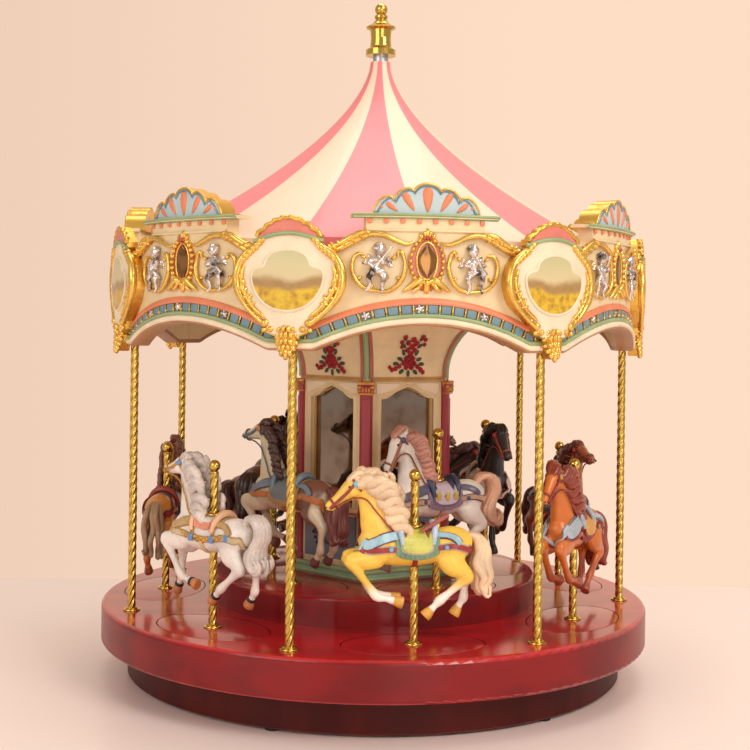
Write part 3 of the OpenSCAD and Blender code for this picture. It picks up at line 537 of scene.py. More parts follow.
PLAIN_NODES = {
    "plinth": foot_wood, "bottom_cover": hardboard, "rubber_feet": rubber, "cover_screws": zinc,
    "lower_race": zinc, "upper_race": zinc, "bedplate": works_brass, "movement_brackets": zinc,
    "governor_block": zinc, "comb": spring_steel, "movement_screws": zinc, "bearing_cage": works_brass,
    "winding_arbor": zinc, "winding_key": brass, "pin_cylinder": works_brass, "governor_idler": works_brass,
    "governor_fan": nylon, "drive_shaft": zinc, "spring_barrel": works_brass, "crown_wheel": works_brass,
    "mainspring": spring_steel, "tie_rod": zinc, "deck": cherry, "platform": cherry_cross,
    "column_frames": cream, "column_mirrors": mirror, "column_pillars": maroon, "column_base": sea_green,
    "cove_panels": cream, "ceiling": cream, "rounding_boards": cream, "fan_crests": gold,
    "medallions": gold, "roof_shell": tent, "finial": brass, "canopy_poles": brass,
}
for node_name, node_obj in NODES.items():
    node_obj.data.materials.clear()
    node_obj.data.materials.append(PLAIN_NODES.get(node_name) or (cherry if "_stand_" in node_name else ivory))


# ---------------------------------------------------------------- horses

def along_line(stations, t):
    """The station at share t of a list of number tuples, smoothly joined."""
    n = len(stations) - 1
    k = min(int(t * n), n - 1)
    s = t * n - k
    p = [stations[max(0, min(n, k + i))] for i in (-1, 0, 1, 2)]
    return [0.5 * (2 * b + (c - a) * s + (2 * a - 5 * b + 4 * c - d) * s * s + (3 * b - a - 3 * c + d) * s ** 3)
            for a, b, c, d in zip(*p)]


def oval_point(stations, t, a, out=0.0):
    """A point at share t along a form and angle a round it; the form closes at its ends."""
    x, y, z, deep, wide = along_line(stations, t)
    ahead = along_line(stations, min(1.0, t + 0.02))
    behind = along_line(stations, max(0.0, t - 0.02))
    way = Vector((ahead[0] - behind[0], 0, ahead[2] - behind[2])).normalized()
    deep, wide = deep + out, wide + out
    if t in (0.0, 1.0):
        deep = wide = 0.0
    return Vector((x - way.z * deep * cos(a), y + wide * sin(a), z + way.x * deep * cos(a)))


def on_form(stations, t, degrees, out=0.0):
    """A place on a fleshed form: 0 degrees is the throat side, 180 the crest side."""
    return oval_point(stations, t, radians(degrees), out)


def fleshed(stations, rows=24, cols=18):
    """A smooth body through oval stations (x, y, z, half depth, half width)."""
    return form(cols, rows, lambda u, v: oval_point(stations, v, u * tau))


# Stations of the body, and of each neck and head
TRUNK = [(-38, 0, 67, .5, .5), (-36.5, 0, 67.5, 6.5, 6), (-32, 0, 68, 11, 8.8), (-24, 0, 68, 13, 10.4),
         (-12, 0, 66, 12.3, 11), (2, 0, 65, 11.6, 11.2), (14, 0, 66.5, 11.2, 10.6), (25, 0, 68.5, 11.6, 10.6),
         (33, 0, 67.5, 10.2, 9.2), (38, 0, 65.5, 6.5, 6.2), (40, 0, 65, .5, .5)]
TRUNK_MID = 66.0                         # height of the trunk's middle

HEADS = {
    "forward": dict(
        neck=[(-18, 0, 66, 11, 8), (-21.5, 0, 74, 14, 8.6), (-25.5, 0, 83, 12.2, 7.4), (-28.5, 0, 92, 9.8, 6),
              (-31.8, 0, 100, 8, 5.1), (-36, 0, 107, 6.6, 4.6), (-40, 0, 111, 4.5, 3.8), (-42, 0, 113, .5, .5)],
        head=[(-34, 0, 111.5, .5, .5), (-36.5, 0, 110.8, 4.6, 4), (-40.5, 0, 108.2, 6.5, 4.8),
              (-44.5, 0, 104.8, 6.9, 4.6), (-49, 0, 101.2, 5.2, 3.8), (-53.2, 0, 97.8, 4.1, 3.2),
              (-57, 0, 94.8, 3.9, 3.1), (-59.6, 0, 92.8, 2.9, 2.5), (-60.8, 0, 91.9, .5, .5)],
        poll=(-37, 114.5)),
    "high": dict(
        neck=[(-18, 0, 66, 11, 8), (-20, 0, 75, 14, 8.6), (-22.5, 0, 84, 12, 7.4), (-24.5, 0, 93, 9.6, 6),
              (-26.5, 0, 101, 8, 5.2), (-29, 0, 108, 6.8, 4.6), (-31, 0, 113, 5, 3.8), (-31.5, 0, 116, .5, .5)],
        head=[(-26.5, 0, 114.5, .5, .5), (-28.6, 0, 114.6, 4.4, 4), (-33, 0, 113.4, 6.1, 4.8),
              (-37.6, 0, 111.8, 6.4, 4.6), (-42.4, 0, 110.3, 4.9, 3.8), (-47, 0, 109.2, 3.9, 3.2),
              (-51, 0, 108.4, 3.7, 3.1), (-54, 0, 107.8, 2.7, 2.5), (-55.2, 0, 107.5, .5, .5)],
        poll=(-27.5, 118.5)),
    "low": dict(
        neck=[(-18, 0, 66, 11, 8), (-23, 0, 74, 14, 8.6), (-29, 0, 82, 12.4, 7.4), (-34, 0, 89, 10, 6),
              (-38.5, 0, 95, 8.2, 5.2), (-42.5, 0, 99.5, 6.8, 4.6), (-45.6, 0, 102.5, 4.6, 3.8),
              (-47, 0, 104.5, .5, .5)],
        head=[(-40.5, 0, 104.6, .5, .5), (-42.5, 0, 103.4, 4.4, 4), (-45.4, 0, 100, 6.3, 4.8),
              (-48, 0, 95.4, 6.7, 4.6), (-50.6, 0, 90.2, 5, 3.8), (-53, 0, 85.4, 4, 3.2),
              (-55, 0, 81.2, 3.8, 3.1), (-56.3, 0, 78.2, 2.8, 2.5), (-56.8, 0, 76.9, .5, .5)],
        poll=(-42.6, 106.6)),
}
HEADS["arched"] = dict(neck=HEADS["high"]["neck"], poll=(-29.6, 118.0),
                       head=[(x + 12.6, y, z + 10.6, deep * 1.06, wide * 1.05)
                             for x, y, z, deep, wide in HEADS["low"]["head"]])

LEG_STOUT = 1.14                         # every leg this much stouter than its joints say
LEG_OUT = 7                              # how far a leg stands beside the body's middle

# Joints of a leg (x, z, thickness): hip or shoulder, knee or hock, fetlock, foot
FORE = {"tucked": [(-25, 63, 9), (-45, 58.5, 4.2), (-27, 34.5, 2.7), (-14, 31, 2.4)],
        "reaching": [(-25, 63, 9), (-42, 50, 4.2), (-43.5, 29, 2.7), (-46.5, 22.5, 2.4)]}
HIND = {"under": [(24, 62, 10.5), (35.5, 46, 4.3), (16.5, 30.5, 2.8), (10, 24, 2.4)],
        "back": [(24, 62, 10.5), (38, 47, 4.3), (36.2, 29.5, 2.8), (32, 22.5, 2.4)]}

# Turned pieces as (radius, height)
HOOF = [(0.0, 0.0), (2.5, 0.0), (2.9, 1.2), (3.5, 4.0), (3.7, 6.0), (3.4, 6.6), (0.0, 6.6)]
CUFF = [(0, 0), (3.0, 0), (3.4, 0.5), (3.4, 1.9), (3.0, 2.4), (0, 2.4)]
POLE_COLLAR = [(3.2, 80), (5.6, 80), (5.8, 80.6), (5.2, 81.4), (4.0, 81.8), (3.9, 83), (3.2, 83.2)]


def leg_form(joints, side, hind):
    """Thigh, knee, cannon, fetlock and pastern of one leg."""
    hip, knee, fetlock, foot = joints

    def between(a, b, t, deep, wide, y):
        return (a[0] + (b[0] - a[0]) * t, side * y, a[1] + (b[1] - a[1]) * t, deep * LEG_STOUT, wide * LEG_STOUT)
    bow = (3.0 if hind else 1.5)
    upper = between(hip, knee, 0.42, hip[2] * 0.78, hip[2] * 0.5, 6.2)
    upper = (upper[0] - (bow if hind else 0), upper[1], upper[2] - (0 if hind else bow), upper[3], upper[4])
    return fleshed([
        between(hip, knee, -0.12, 1, 1, 3.5),
        between(hip, knee, 0.0, hip[2] * 0.9, hip[2] * 0.52, 4.6),
        upper,
        between(hip, knee, 0.78, knee[2] * 1.15, knee[2] * 0.9, 6.8),
        between(hip, knee, 1.0, knee[2], knee[2] * 0.85, LEG_OUT),
        between(knee, fetlock, 0.22, knee[2] * 0.74, knee[2] * 0.66, LEG_OUT),
        between(knee, fetlock, 0.62, 2.25, 2.1, LEG_OUT),
        between(knee, fetlock, 1.0, fetlock[2] * 1.12, fetlock[2] * 0.98, LEG_OUT),
        between(fetlock, foot, 0.5, 2.0, 2.0, LEG_OUT),
        between(fetlock, foot, 0.9, 2.5, 2.4, LEG_OUT),
        between(fetlock, foot, 1.1, 1, 1, LEG_OUT)], rows=34, cols=12)


def on_pastern(profile, joints, side, back, shape=Matrix.Identity(4)):
    """A turned piece on the pastern, its start set back from the foot."""
    fetlock, foot = joints[2], joints[3]
    way = Vector((foot[0] - fetlock[0], 0, foot[1] - fetlock[1])).normalized()
    start = Vector((foot[0], side * LEG_OUT, foot[1])) - way * back
    piece = turned(profile, 20)
    spin = Vector((0, 0, 1)).rotation_difference(way).to_matrix().to_4x4()
    return moved(piece, Matrix.Translation(start) @ spin @ shape)


def hugging(obj, body, rise, thick):
    """Lays a thin piece on the body and gives it its thickness."""
    changed(obj, "SHRINKWRAP", target=body, wrap_method="NEAREST_SURFACEPOINT", wrap_mode="ABOVE_SURFACE",
            offset=rise)
    changed(obj, "SMOOTH", factor=0.5, iterations=1)
    facing = sum(p.normal.y * p.center.y + p.normal.z * (p.center.z - TRUNK_MID) for p in obj.data.polygons)
    if facing < 0:
        obj.data.flip_normals()
    return changed(obj, "SOLIDIFY", thickness=thick, offset=1.0)


def trunk_point(x, around_deg, out):
    """A place beside the trunk at x, turned from the back's line, at a distance."""
    share = 0.5
    low, high = 0.0, 1.0
    for _ in range(18):
        share = (low + high) / 2
        if along_line(TRUNK, share)[0] < x:
            low = share
        else:
            high = share
    z, deep, wide = along_line(TRUNK, share)[2:]
    a = radians(around_deg)
    return Vector((x, (wide + out) * sin(a), z + (deep + out) * cos(a)))


def band(path, width, body, rise=0.4, thick=0.9, steps=40):
    """A strap that follows a path [(x, degrees round the trunk)] over the body."""
    def at_share(t):
        x, a = along_line(path, t)
        return trunk_point(x, a, 2.5)

    def shape(u, v):
        here = at_share(v)
        way = at_share(min(1.0, v + 0.02)) - at_share(max(0.0, v - 0.02))
        middle = Vector((here.x, 0, TRUNK_MID))
        across = way.cross(here - middle).normalized()
        return here + across * width * (u - 0.5)
    obj = form(3 if width < 7 else 8, steps, shape, outward=False)
    return hugging(obj, body, rise, thick)


def cloth(x0, x1, reach, body, rise, thick, belly=0.0, cols=26):
    """A saddle cloth over the back: reach is how far it hangs on each side, in degrees."""
    def shape(u, v):
        side = 2 * v - 1
        spread = 1 + belly * (1 - side * side)
        x = (x0 + x1) / 2 + (x1 - x0) * (u - 0.5) * spread
        drop = reach * (1 - 0.1 * (2 * u - 1) ** 4)
        return trunk_point(x, side * drop, 3.0)
    return hugging(form(cols, 30, shape, outward=False), body, rise, thick)


def saddle_form():
    """Seat with a raised pommel and cantle."""
    def shape(u, v):
        side = 2 * v - 1
        x = -10.5 + 20.5 * u
        lift = 2.6 + 3.6 * (2 * u - 1) ** 4 * (1 - abs(side) ** 1.5)
        return trunk_point(x * (1 - 0.25 * abs(side)), side * 62, lift)
    seat = facing(form(20, 20, shape, outward=False), 200, away=(0, 0, -1))
    return changed(seat, "SOLIDIFY", thickness=1.8, offset=-1.0)


def locks(count, root, flow, thick, seed, rows=1):
    """Carved locks of hair: root(t, side) is where each starts, flow(t, side) where it goes."""
    draw = random.Random(seed)
    made = []
    for row in range(rows):
        for k in range(count):
            t = (k + 0.5 * (row % 2)) / max(1, count - 1)
            for side in (-1, 1):
                a = Vector(root(min(1.0, t), side))
                b = Vector(flow(min(1.0, t), side)) * draw.uniform(0.85, 1.15)
                sway = Vector((draw.uniform(-1, 1), side * draw.uniform(0.2, 1.2), draw.uniform(-1, 1)))
                curl = b.cross(Vector((0, side, 0))).normalized() * b.length * 0.3 * (1 if (k + row) % 2 else 0.6)
                out = Vector((0, side * thick * 0.55, 0))
                made.append([(*a, 0.8),
                             (*(a + b * 0.3 + curl + sway * 0.5 + out), 1.15),
                             (*(a + b * 0.66 - curl * 0.2 + sway + out), 1.1),
                             (*(a + b * 0.95 + curl * 0.3 + sway * 1.3), 0.85),
                             (*(a + b * 0.9 + curl * 1.15 + sway), 0.55),
                             (*(a + b * 0.68 + curl * 0.9 + sway + out * 1.4), 0.2)])
    return strands(made, thick)


def mane_form(head, seed, thick, length):
    """Curly mane down the back of the neck, and a forelock."""
    neck = HEADS[head]["neck"]

    def root(t, side):
        x, _, z, deep, wide = along_line(neck, 0.28 + 0.66 * t)
        ahead = along_line(neck, min(1.0, 0.3 + 0.66 * t))
        way = Vector((ahead[0] - x, 0, ahead[2] - z)).normalized()
        return (x - (-way.z) * deep * 0.82, side * wide * 0.4, z - way.x * deep * 0.82)

    def flow(t, side):
        return (length * (0.74 + 0.3 * sin(t * 3)), side * 4.0, -length * (0.6 - 0.5 * t))
    px, pz = HEADS[head]["poll"]
    fore = [[(px + 3, side, pz - 1, 1.2), (px - 1.5, side * 2.2, pz + 2.0, 1.3), (px - 5.5, side * 2.6, pz - 0.6, 1.1),
             (px - 8.6, side * 1.6, pz - 4.6, 0.9), (px - 6.4, side * 2.8, pz - 6.4, 0.3)] for side in (-0.9, 0, 1)]
    rows, count = (2, 7) if thick < FINE_CURL else (1, 8)
    return joined([locks(count, root, flow, thick, seed, rows), strands(fore, 1.9)])


def tail_form(seed, style="full"):
    """Tail of carved locks: full and wavy, curled over, or slim."""
    draw = random.Random(seed)
    made = []
    count = 7 if style == "slim" else 13
    for k in range(count):
        a = k * tau / count
        dy, dx = 4.0 * sin(a), 3.2 * cos(a)
        w = draw.uniform(0.8, 1.15)
        if style == "curled":
            line = [(33, dy * 0.3, 74, .7), (39 + dx * 0.4, dy * 0.7, 81, 1), (47 + dx, dy, 80, 1.1),
                    (51 + dx, dy * 1.1, 71, 1.05), (46.5 + dx, dy * 1.3, 62, 1.0), (44 + dx * 1.6, dy * 1.7, 55, 1.1),
                    (49 + dx * w, dy * 1.6 + draw.uniform(-2, 2), 47 + draw.uniform(-3, 3), 0.9),
                    (53 + dx * w, dy * 1.8, 51 + draw.uniform(-2, 3), 0.6),
                    (50.5 + dx * w, dy * 2.0, 55 + draw.uniform(-2, 2), 0.25)]
        else:
            sway = [draw.uniform(-1.9, 1.9) for _ in range(6)]
            line = [(34, dy * 0.3, 72, .7), (41 + dx * 0.4, dy * 0.8, 73.5, 1),
                    (46.5 + dx + sway[0], dy * 1.2 + sway[1], 66, 1.15),
                    (45.0 + dx * 1.5 + sway[2], dy * 1.6 + sway[3], 55, 1.2),
                    (47.0 + dx * 1.6 + sway[4], dy * 1.7 + sway[5], 46, 1.1),
                    (47 + dx * w, dy * w * 1.6, 37 + draw.uniform(-3, 4), 0.85),
                    (50 + dx * w, dy * w * 1.7, 34.5 + draw.uniform(-2, 4), 0.5),
                    (50.5 + dx, dy * 1.6, 38.5 + draw.uniform(-2, 3), 0.2)]
        made.append(line)
    return strands(made, 2.0 if style == "slim" else 2.5)


def coat_finish(name, body, socks, floor, patch=None):
    """Fired glaze over carved resin: lighter or darker lower legs, soft shading and brush marks."""
    f = Finish(name, rough=0.34, coat=0.25)
    f.set("Coat Roughness", 0.3)
    soft = f.noise(55, 3)
    fine = f.noise(600, 3, seed=1.0)
    colour = f.mix((soft * 0.7 + fine * 0.3).step(0.4, 0.68) * 0.5, body, darker(body, 0.62))
    z = f.axes()[2]
    if patch:
        blot = f.noise(26, 1, seed=2.3).step(0.5, 0.56)
        colour = f.mix(blot, colour, patch)
    colour = f.mix(1 - (z + soft * 0.012).step(floor + 0.040, floor + 0.052), colour, socks)
    f.set("Base Color", colour)
    return f.bump(soft * 0.4 + fine * 0.6, 0.00014, 0.5)


SKINS = {}


def body_form(head, legs):
    """Trunk, neck, head, ears and legs, worked into one skin; a pose is worked once and copied."""
    if (head, legs) in SKINS:
        return twin(SKINS[head, legs])
    shape = HEADS[head]
    face = shape["head"]
    parts = [fleshed(TRUNK, 30, 22), fleshed(shape["neck"], 24, 18), fleshed(face, 26, 18)]
    px, pz = shape["poll"]
    for side in (-1, 1):
        ear = [(px + 1, side * 2, pz - 2.5, 1.1), (px, side * 2.8, pz + 1.2, 1), (px + 0.3, side * 3, pz + 4.6, 0.2)]
        parts.append(strand(ear, 1.6))
        parts.append(bead(*on_form(face, 0.36, side * 75, -2.2), 4.4, 2.9, 4.4))
        parts.append(bead(*on_form(face, 0.33, side * 128, -0.7), 2.1, 1.5, 1.7))
        parts.append(bead(-24, side * 6.2, 66, 9, 6, 10.5))
        parts.append(bead(27, side * 6.4, 66, 9.5, 5.6, 10.5))
    for side, joints, hind in leg_joints(legs):
        parts.append(leg_form(joints, side, hind))
    body = joined(parts)
    changed(body, "REMESH", mode="VOXEL", voxel_size=1.0)
    changed(body, "SMOOTH", factor=0.5, iterations=4)
    SKINS[head, legs] = twin(body)
    bpy.context.collection.objects.unlink(SKINS[head, legs])
    return body


def leg_joints(legs):
    """Side, joints and whether it is a hind leg, for each of the four legs."""
    return [(side, (HIND if hind else FORE)[pose], hind)
            for (side, hind), pose in zip(((-1, False), (1, False), (-1, True), (1, True)), legs)]


def bridle_form(head):
    """Noseband, browband, cheek straps and reins."""
    face, neck = HEADS[head]["head"], HEADS[head]["neck"]
    strap_r = 0.85
    parts = [[tuple(on_form(face, t, a, out)) for a in range(0, 360, 30)] for t, out in ((0.7, 0.25), (0.24, 0.3))]
    parts = [strand(ring, strap_r, closed=True, sides=1) for ring in parts]
    for side in (-1, 1):
        cheek = ((0.84, 82), (0.7, 88), (0.55, 92), (0.4, 98), (0.24, 110))
        parts.append(strand([tuple(on_form(face, t, side * a, 0.3)) for t, a in cheek], strap_r * 1.35, sides=1))
        rein = [tuple(on_form(face, 0.82, side * 75, 0.6)), tuple(on_form(neck, 0.62, side * 60, 1.6)),
                tuple(on_form(neck, 0.4, side * 95, 1.2)), (-13, side * 7.5, 77.5), (-8, side * 3, 80)]
        parts.append(strand(rein, 0.6, sides=1))
    return joined(parts)


def eye_forms(head):
    """Eyes, nostrils and the line of the mouth."""
    face = HEADS[head]["head"]
    parts = []
    for side in (-1, 1):
        parts.append(bead(*on_form(face, 0.35, side * 112, -0.35), 1.15, 0.8, 1.05))
        parts.append(bead(*on_form(face, 0.9, side * 125, -0.25), 0.85, 0.55, 0.6))
        parts.append(strand([tuple(on_form(face, t, side * 42, 0.05)) for t in (0.97, 0.9, 0.82)], 0.32, sides=1))
    return joined(parts)


PAINTS = {}


def paint(r, g, b, shiny=False):
    """A figure's paint of a colour, made once."""
    key = (r, g, b, shiny)
    if key not in PAINTS:
        name = "figure_paint_%d" % (len(PAINTS) + 1)
        PAINTS[key] = (gilded(name, lin(r, g, b), darker(lin(r, g, b), 0.4)) if shiny
                       else painted(name, lin(r, g, b), rough=0.36, wash=0.55, shade=0.5, grain=700, coat=0.2))
    return PAINTS[key]


GILT = (214, 160, 70, True)
FINE_CURL = 3                            # a mane of thinner locks has two rows of them
COLOURS = ("coat", "socks", "hair", "hoof", "bridle", "cloth", "fringe", "saddle", "collar", "girth", "jewel")


def figure(head, legs, *colours, **extras):
    """What sets a horse apart: its head, its four legs, its paints in the order of COLOURS, and the rest."""
    return dict(zip(COLOURS, colours), head=head, legs=tuple(legs.split()), **extras)


FIGURES = {
    "outer_1": figure(
        "forward", "tucked tucked under back", (252, 206, 82), (250, 240, 226), (250, 216, 176), (238, 176, 76),
        (156, 52, 48), (212, 208, 92), (132, 166, 128), (152, 84, 66), (160, 200, 214), (166, 48, 46), (130, 190, 220),
        edge=(186, 178, 168), piping=(122, 48, 62), roll=(196, 212, 232), curl=3.6, blanket=(176, 92, 84)),
    "outer_2": figure(
        "forward", "tucked tucked under back", (208, 110, 36), (176, 84, 46), (150, 58, 34), (168, 76, 54),
        (140, 44, 36), (226, 160, 60), (146, 36, 40), (120, 50, 40), (182, 190, 198), (150, 40, 40), (190, 150, 70),
        wide=9.5, curl=3.4, piping=(150, 150, 154)),
    "outer_3": figure(
        "high", "reaching tucked under back", (170, 92, 52), (130, 64, 38), (110, 48, 34), (90, 44, 32),
        (120, 40, 36), (206, 210, 214), (120, 146, 160), (160, 60, 50), (190, 198, 204), (140, 44, 40), (200, 60, 60)),
    "outer_4": figure(
        "low", "tucked tucked under back", (52, 44, 44), (30, 26, 26), (92, 62, 56), (40, 34, 32),
        (170, 60, 50), (200, 160, 150), (140, 60, 60), (130, 50, 44), (210, 180, 150), (160, 50, 46), (180, 40, 44)),
    "outer_5": figure(
        "forward", "tucked tucked under back", (160, 108, 62), (130, 84, 52), (84, 40, 34), (90, 60, 44),
        (110, 50, 40), (196, 186, 180), (150, 142, 138), (120, 40, 46), (180, 150, 110), (150, 60, 50),
        (90, 120, 160)),
    "outer_6": figure(
        "high", "reaching tucked back under", (220, 146, 62), (196, 110, 46), (142, 84, 62), (150, 84, 50),
        (150, 50, 44), (150, 150, 140), (60, 66, 96), (56, 60, 92), (160, 60, 40), (164, 56, 44), (200, 160, 80),
        tail_hair=(176, 140, 104), tail="slim"),
    "outer_7": figure(
        "high", "tucked reaching under back", (246, 236, 226), (240, 226, 216), (232, 218, 208), (206, 128, 72),
        GILT, (248, 238, 230), (190, 158, 100), (236, 150, 120), (206, 170, 112), (222, 196, 150), (110, 160, 214),
        skirt=52, edge=(196, 160, 96), piping=(196, 150, 90), roll=(240, 190, 150), curl=3.4, tail="curled",
        cuff=(40, 32, 30), chain=GILT),
    "inner_1": figure(
        "arched", "reaching tucked under back", (226, 216, 204), (236, 214, 200), (206, 146, 128), (120, 80, 60),
        (150, 84, 50), (204, 186, 200), (150, 120, 140), (64, 66, 92), (92, 88, 116), (206, 160, 130), (74, 80, 112),
        mane=10.0, roll=(62, 66, 94), edge=(120, 96, 120), tail="curled", tail_hair=(224, 172, 140),
        drops=(220, 188, 70)),
    "inner_2": figure(
        "forward", "tucked reaching back under", (44, 40, 42), (26, 24, 26), (30, 26, 26), (40, 36, 36),
        (150, 70, 60), (232, 206, 196), (190, 120, 100), (60, 56, 66), (236, 214, 204), (150, 60, 50), (190, 40, 40),
        wide=10.5, gem=(190, 36, 40), piping=(150, 60, 56)),
    "inner_3": figure(
        "forward", "tucked tucked under back", (188, 138, 88), (236, 220, 196), (238, 220, 190), (120, 84, 60),
        (90, 110, 130), (170, 60, 60), (220, 190, 110), (110, 60, 44), (90, 120, 150), (90, 110, 140), (220, 190, 90)),
    "inner_4": figure(
        "high", "tucked reaching under back", (104, 64, 44), (70, 40, 30), (60, 34, 28), (50, 34, 28),
        (160, 60, 50), (120, 140, 120), (90, 70, 60), (120, 50, 40), (150, 140, 120), (140, 50, 44), (200, 150, 80)),
    "inner_5": figure(
        "high", "tucked tucked back back", (214, 196, 164), (200, 176, 150), (72, 44, 38), (104, 50, 42),
        (90, 110, 124), (112, 118, 122), (176, 140, 90), (60, 70, 84), (120, 136, 150), (200, 110, 50), (196, 130, 60),
        mane=10.0, tail_hair=(120, 62, 56), patch=(116, 76, 58)),
}

# Paths of the straps: (x, degrees round the trunk from the back's line)
GIRTH_LINE = [(-1, a) for a in range(100, 261, 20)]
LOW_FRONT = [(-13, 90), (-21, 95), (-28, 99), (-33, 101), (-36.2, 100)]
LOW_REAR = [(14, 88), (22, 90), (30, 94), (36, 97), (38.2, 98)]
CHAIN_FRONT = [(-2, 95), (-14, 95), (-24, 95), (-32, 95), (-36.4, 95)]
CHAIN_REAR = [(-2, 95), (12, 95), (24, 95), (34, 96), (38.2, 98)]
HIGH_FRONT = [(-10, 42), (-16, 54), (-22, 66), (-28, 76), (-33.5, 84), (-36.6, 86)]
HIGH_REAR = [(13, 44), (18, 50), (23, 60), (27, 72), (29.5, 84)]
SIDE_STRAPS = (-9.5, 12.0)


def mirrored(path):
    """A path that goes on down the other side of the trunk."""
    return path + [(x, 360 - a) for x, a in reversed(path)]


def pleated(obj, x0, x1, count, depth):
    """Turns a plain skirt into pleats that deepen towards its hem."""
    for v in obj.data.vertices:
        drop = max(0.0, (72 - v.co.z) / 16)
        wave = sin((v.co.x - x0) / (x1 - x0) * count * tau)
        v.co.y += copysign(depth * drop * (0.5 + 0.5 * wave), v.co.y)
    return obj


def seat_rolls():
    """Padded rolls before and behind the seat."""
    lines = []
    for x, lean, top in ((-9.6, -2.0, 5.2), (10.4, 2.4, 4.5)):
        line = []
        for a in range(-75, 76, 15):
            level = cos(radians(a))
            line.append((*trunk_point(x + lean * level, a, 1.6 + (top - 1.6) * level ** 2), 0.55 + 0.6 * level ** 2))
        lines.append(line)
    return strands(lines, 2.5)


def chain_form():
    """Scalloped gold chain along the flanks."""
    return joined([bead(*trunk_point(-33 + 3.3 * k, side * (92 + 5 * (k % 2)), 1.3), 1.9, 1.2, 2.0, 8, 6)
                   for side in (-1, 1) for k in range(21)])


def darker_tone(colour):
    """A darker paint of the same hue."""
    return tuple(int(c * 0.6) for c in colour[:3])


def horse(name, spec, angle, radius, floor, number):
    """One figure: carved body, hair, hooves and tack, each in its own paint."""
    place = ring_place(angle, radius, floor)
    rider = name.replace("_", "_figure_")
    node = name.replace("_", "_horse_")
    head, girth = spec["head"], spec["girth"]
    body = body_form(head, spec["legs"])
    edge = spec.get("edge", spec["fringe"])
    made = []

    def add(part, suffix, colour, smooth=60):
        """Keeps a part with its paint until the body is settled."""
        made.append((part, suffix, paint(*colour) if isinstance(colour, tuple) else colour, smooth))

    def pair(front, rear, width, rise, thick):
        """Straps round the chest and round the haunches."""
        return joined([band(mirrored(path), width, body, rise, thick, steps=60) for path in (front, rear)])

    def high_bands(front_width, front_rise, rear_width, rise, thick):
        """The collar round the chest and the two bands over the haunches."""
        rear = [band([(x, s * a) for x, a in HIGH_REAR], rear_width, body, rise, thick) for s in (-1, 1)]
        return joined([band(mirrored(HIGH_FRONT), front_width, body, front_rise, thick, steps=60)] + rear)

    # Hooves, hair and saddle
    add(joined([on_pastern(HOOF, joints, side, 1.2, Matrix.Diagonal((1.12, 0.95, 1, 1)))
                for side, joints, _ in leg_joints(spec["legs"])]), "hooves", spec["hoof"], 40)
    if "cuff" in spec:
        add(joined([on_pastern(CUFF, joints, side, 2.4) for side, joints, _ in leg_joints(spec["legs"])]),
            "cuffs", spec["cuff"], 40)
    thick = spec.get("curl", 2.5)
    add(mane_form(head, number, thick, spec.get("mane", 13.0 if thick < FINE_CURL else 17.0)), "mane", spec["hair"])
    add(tail_form(number + 50, spec.get("tail", "full")), "tail", spec.get("tail_hair", spec["hair"]))
    reach = spec.get("skirt", 119)
    add(pleated(cloth(-14.5, 15.5, reach, body, 0.3, 1.1, cols=44), -14.5, 15.5, 9, 1.3), "fringe", spec["fringe"])
    add(cloth(-11.2, 11.2, reach * 0.85, body, 1.5, 1.1, belly=0.06), "cloth_edge", edge)
    add(cloth(-10.0, 10.0, reach * 0.8, body, 2.2, 1.0, belly=0.06), "saddle_cloth", spec["cloth"])
    add(saddle_form(), "saddle", spec["saddle"])
    add(seat_rolls(), "seat_rolls", spec.get("roll", spec["collar"]))

    # Straps, and the chain or the jewels on them
    add(band(GIRTH_LINE, 3.6, body, 0.3, 0.8), "girth", girth)
    low = (CHAIN_FRONT, CHAIN_REAR) if "chain" in spec else (LOW_FRONT, LOW_REAR)
    add(pair(*low, 5.6, 0.3, 0.6), "strap_edges", edge)
    add(pair(*low, 3.6, 0.9, 0.8), "straps", girth)
    wide = spec.get("wide", 6.2)
    add(high_bands(wide + 2.0, 0.35, 6.4, 0.35, 0.6), "collar_edges", spec.get("piping", darker_tone(girth)))
    add(high_bands(wide, 1.0 if wide < 7 else 1.5, 4.2, 1.0, 0.8), "collar", spec["collar"])
    if "chain" in spec:
        add(chain_form(), "chain", spec["chain"])
        add(joined([band([(x + 0.05 * (a - 90), side * a) for a in range(44, 97, 13)], 2.6, body, 0.8, 0.8)
                    for side in (1, -1) for x in SIDE_STRAPS]), "side_straps", spec["chain"])
        jewels = [moved(block(-2, 2, -1.3, 1.3, -2.6, 2.6, 0.9), Matrix.Translation(trunk_point(x, side * 95, 2.2)))
                  for side in (-1, 1) for x in (*SIDE_STRAPS, 27.5)]
    else:
        jewels = [bead(*trunk_point(x, side * 92, 2.0), 1.7, 1.1, 1.7, 10, 6) for side in (-1, 1) for x in (-18, 20)]
    if "blanket" in spec:
        add(strand([(2.5, -9.5, 78, 0.9), (8, -9.2, 81, 1), (15, -8.2, 85, 1), (21.5, -7.2, 88.6, 1.15)], 1.5, sides=3),
            "blanket_roll", spec["blanket"])
    if "drops" in spec:
        ovals = [moved(bead(0, 0, 0, 1.9, 0.8, 4.4, 10, 8), Matrix.Translation(trunk_point(x, side * 74, 4.0))
                       @ tilt(side * -16, "X"))
                 for side in (-1, 1) for x in (-7.6, 0.0, 7.6)]
        add(joined(ovals), "cloth_drops", spec["drops"])
    if "gem" in spec:
        add(bead(-39.0, 0, 66, 1.6, 2.4, 3.4, 10, 8), "breast_gem", spec["gem"])
    jewels += [bead(*on_form(HEADS[head]["head"], 0.24, side * 100, 0.9), 2.3, 1.2, 2.3, 10, 6) for side in (-1, 1)]
    add(joined(jewels), "jewels", spec["jewel"])
    add(bridle_form(head), "bridle", spec["bridle"])
    add(eye_forms(head), "eyes", dark_glaze)
    add(turned(POLE_COLLAR, 28), "pole_collar", brass)

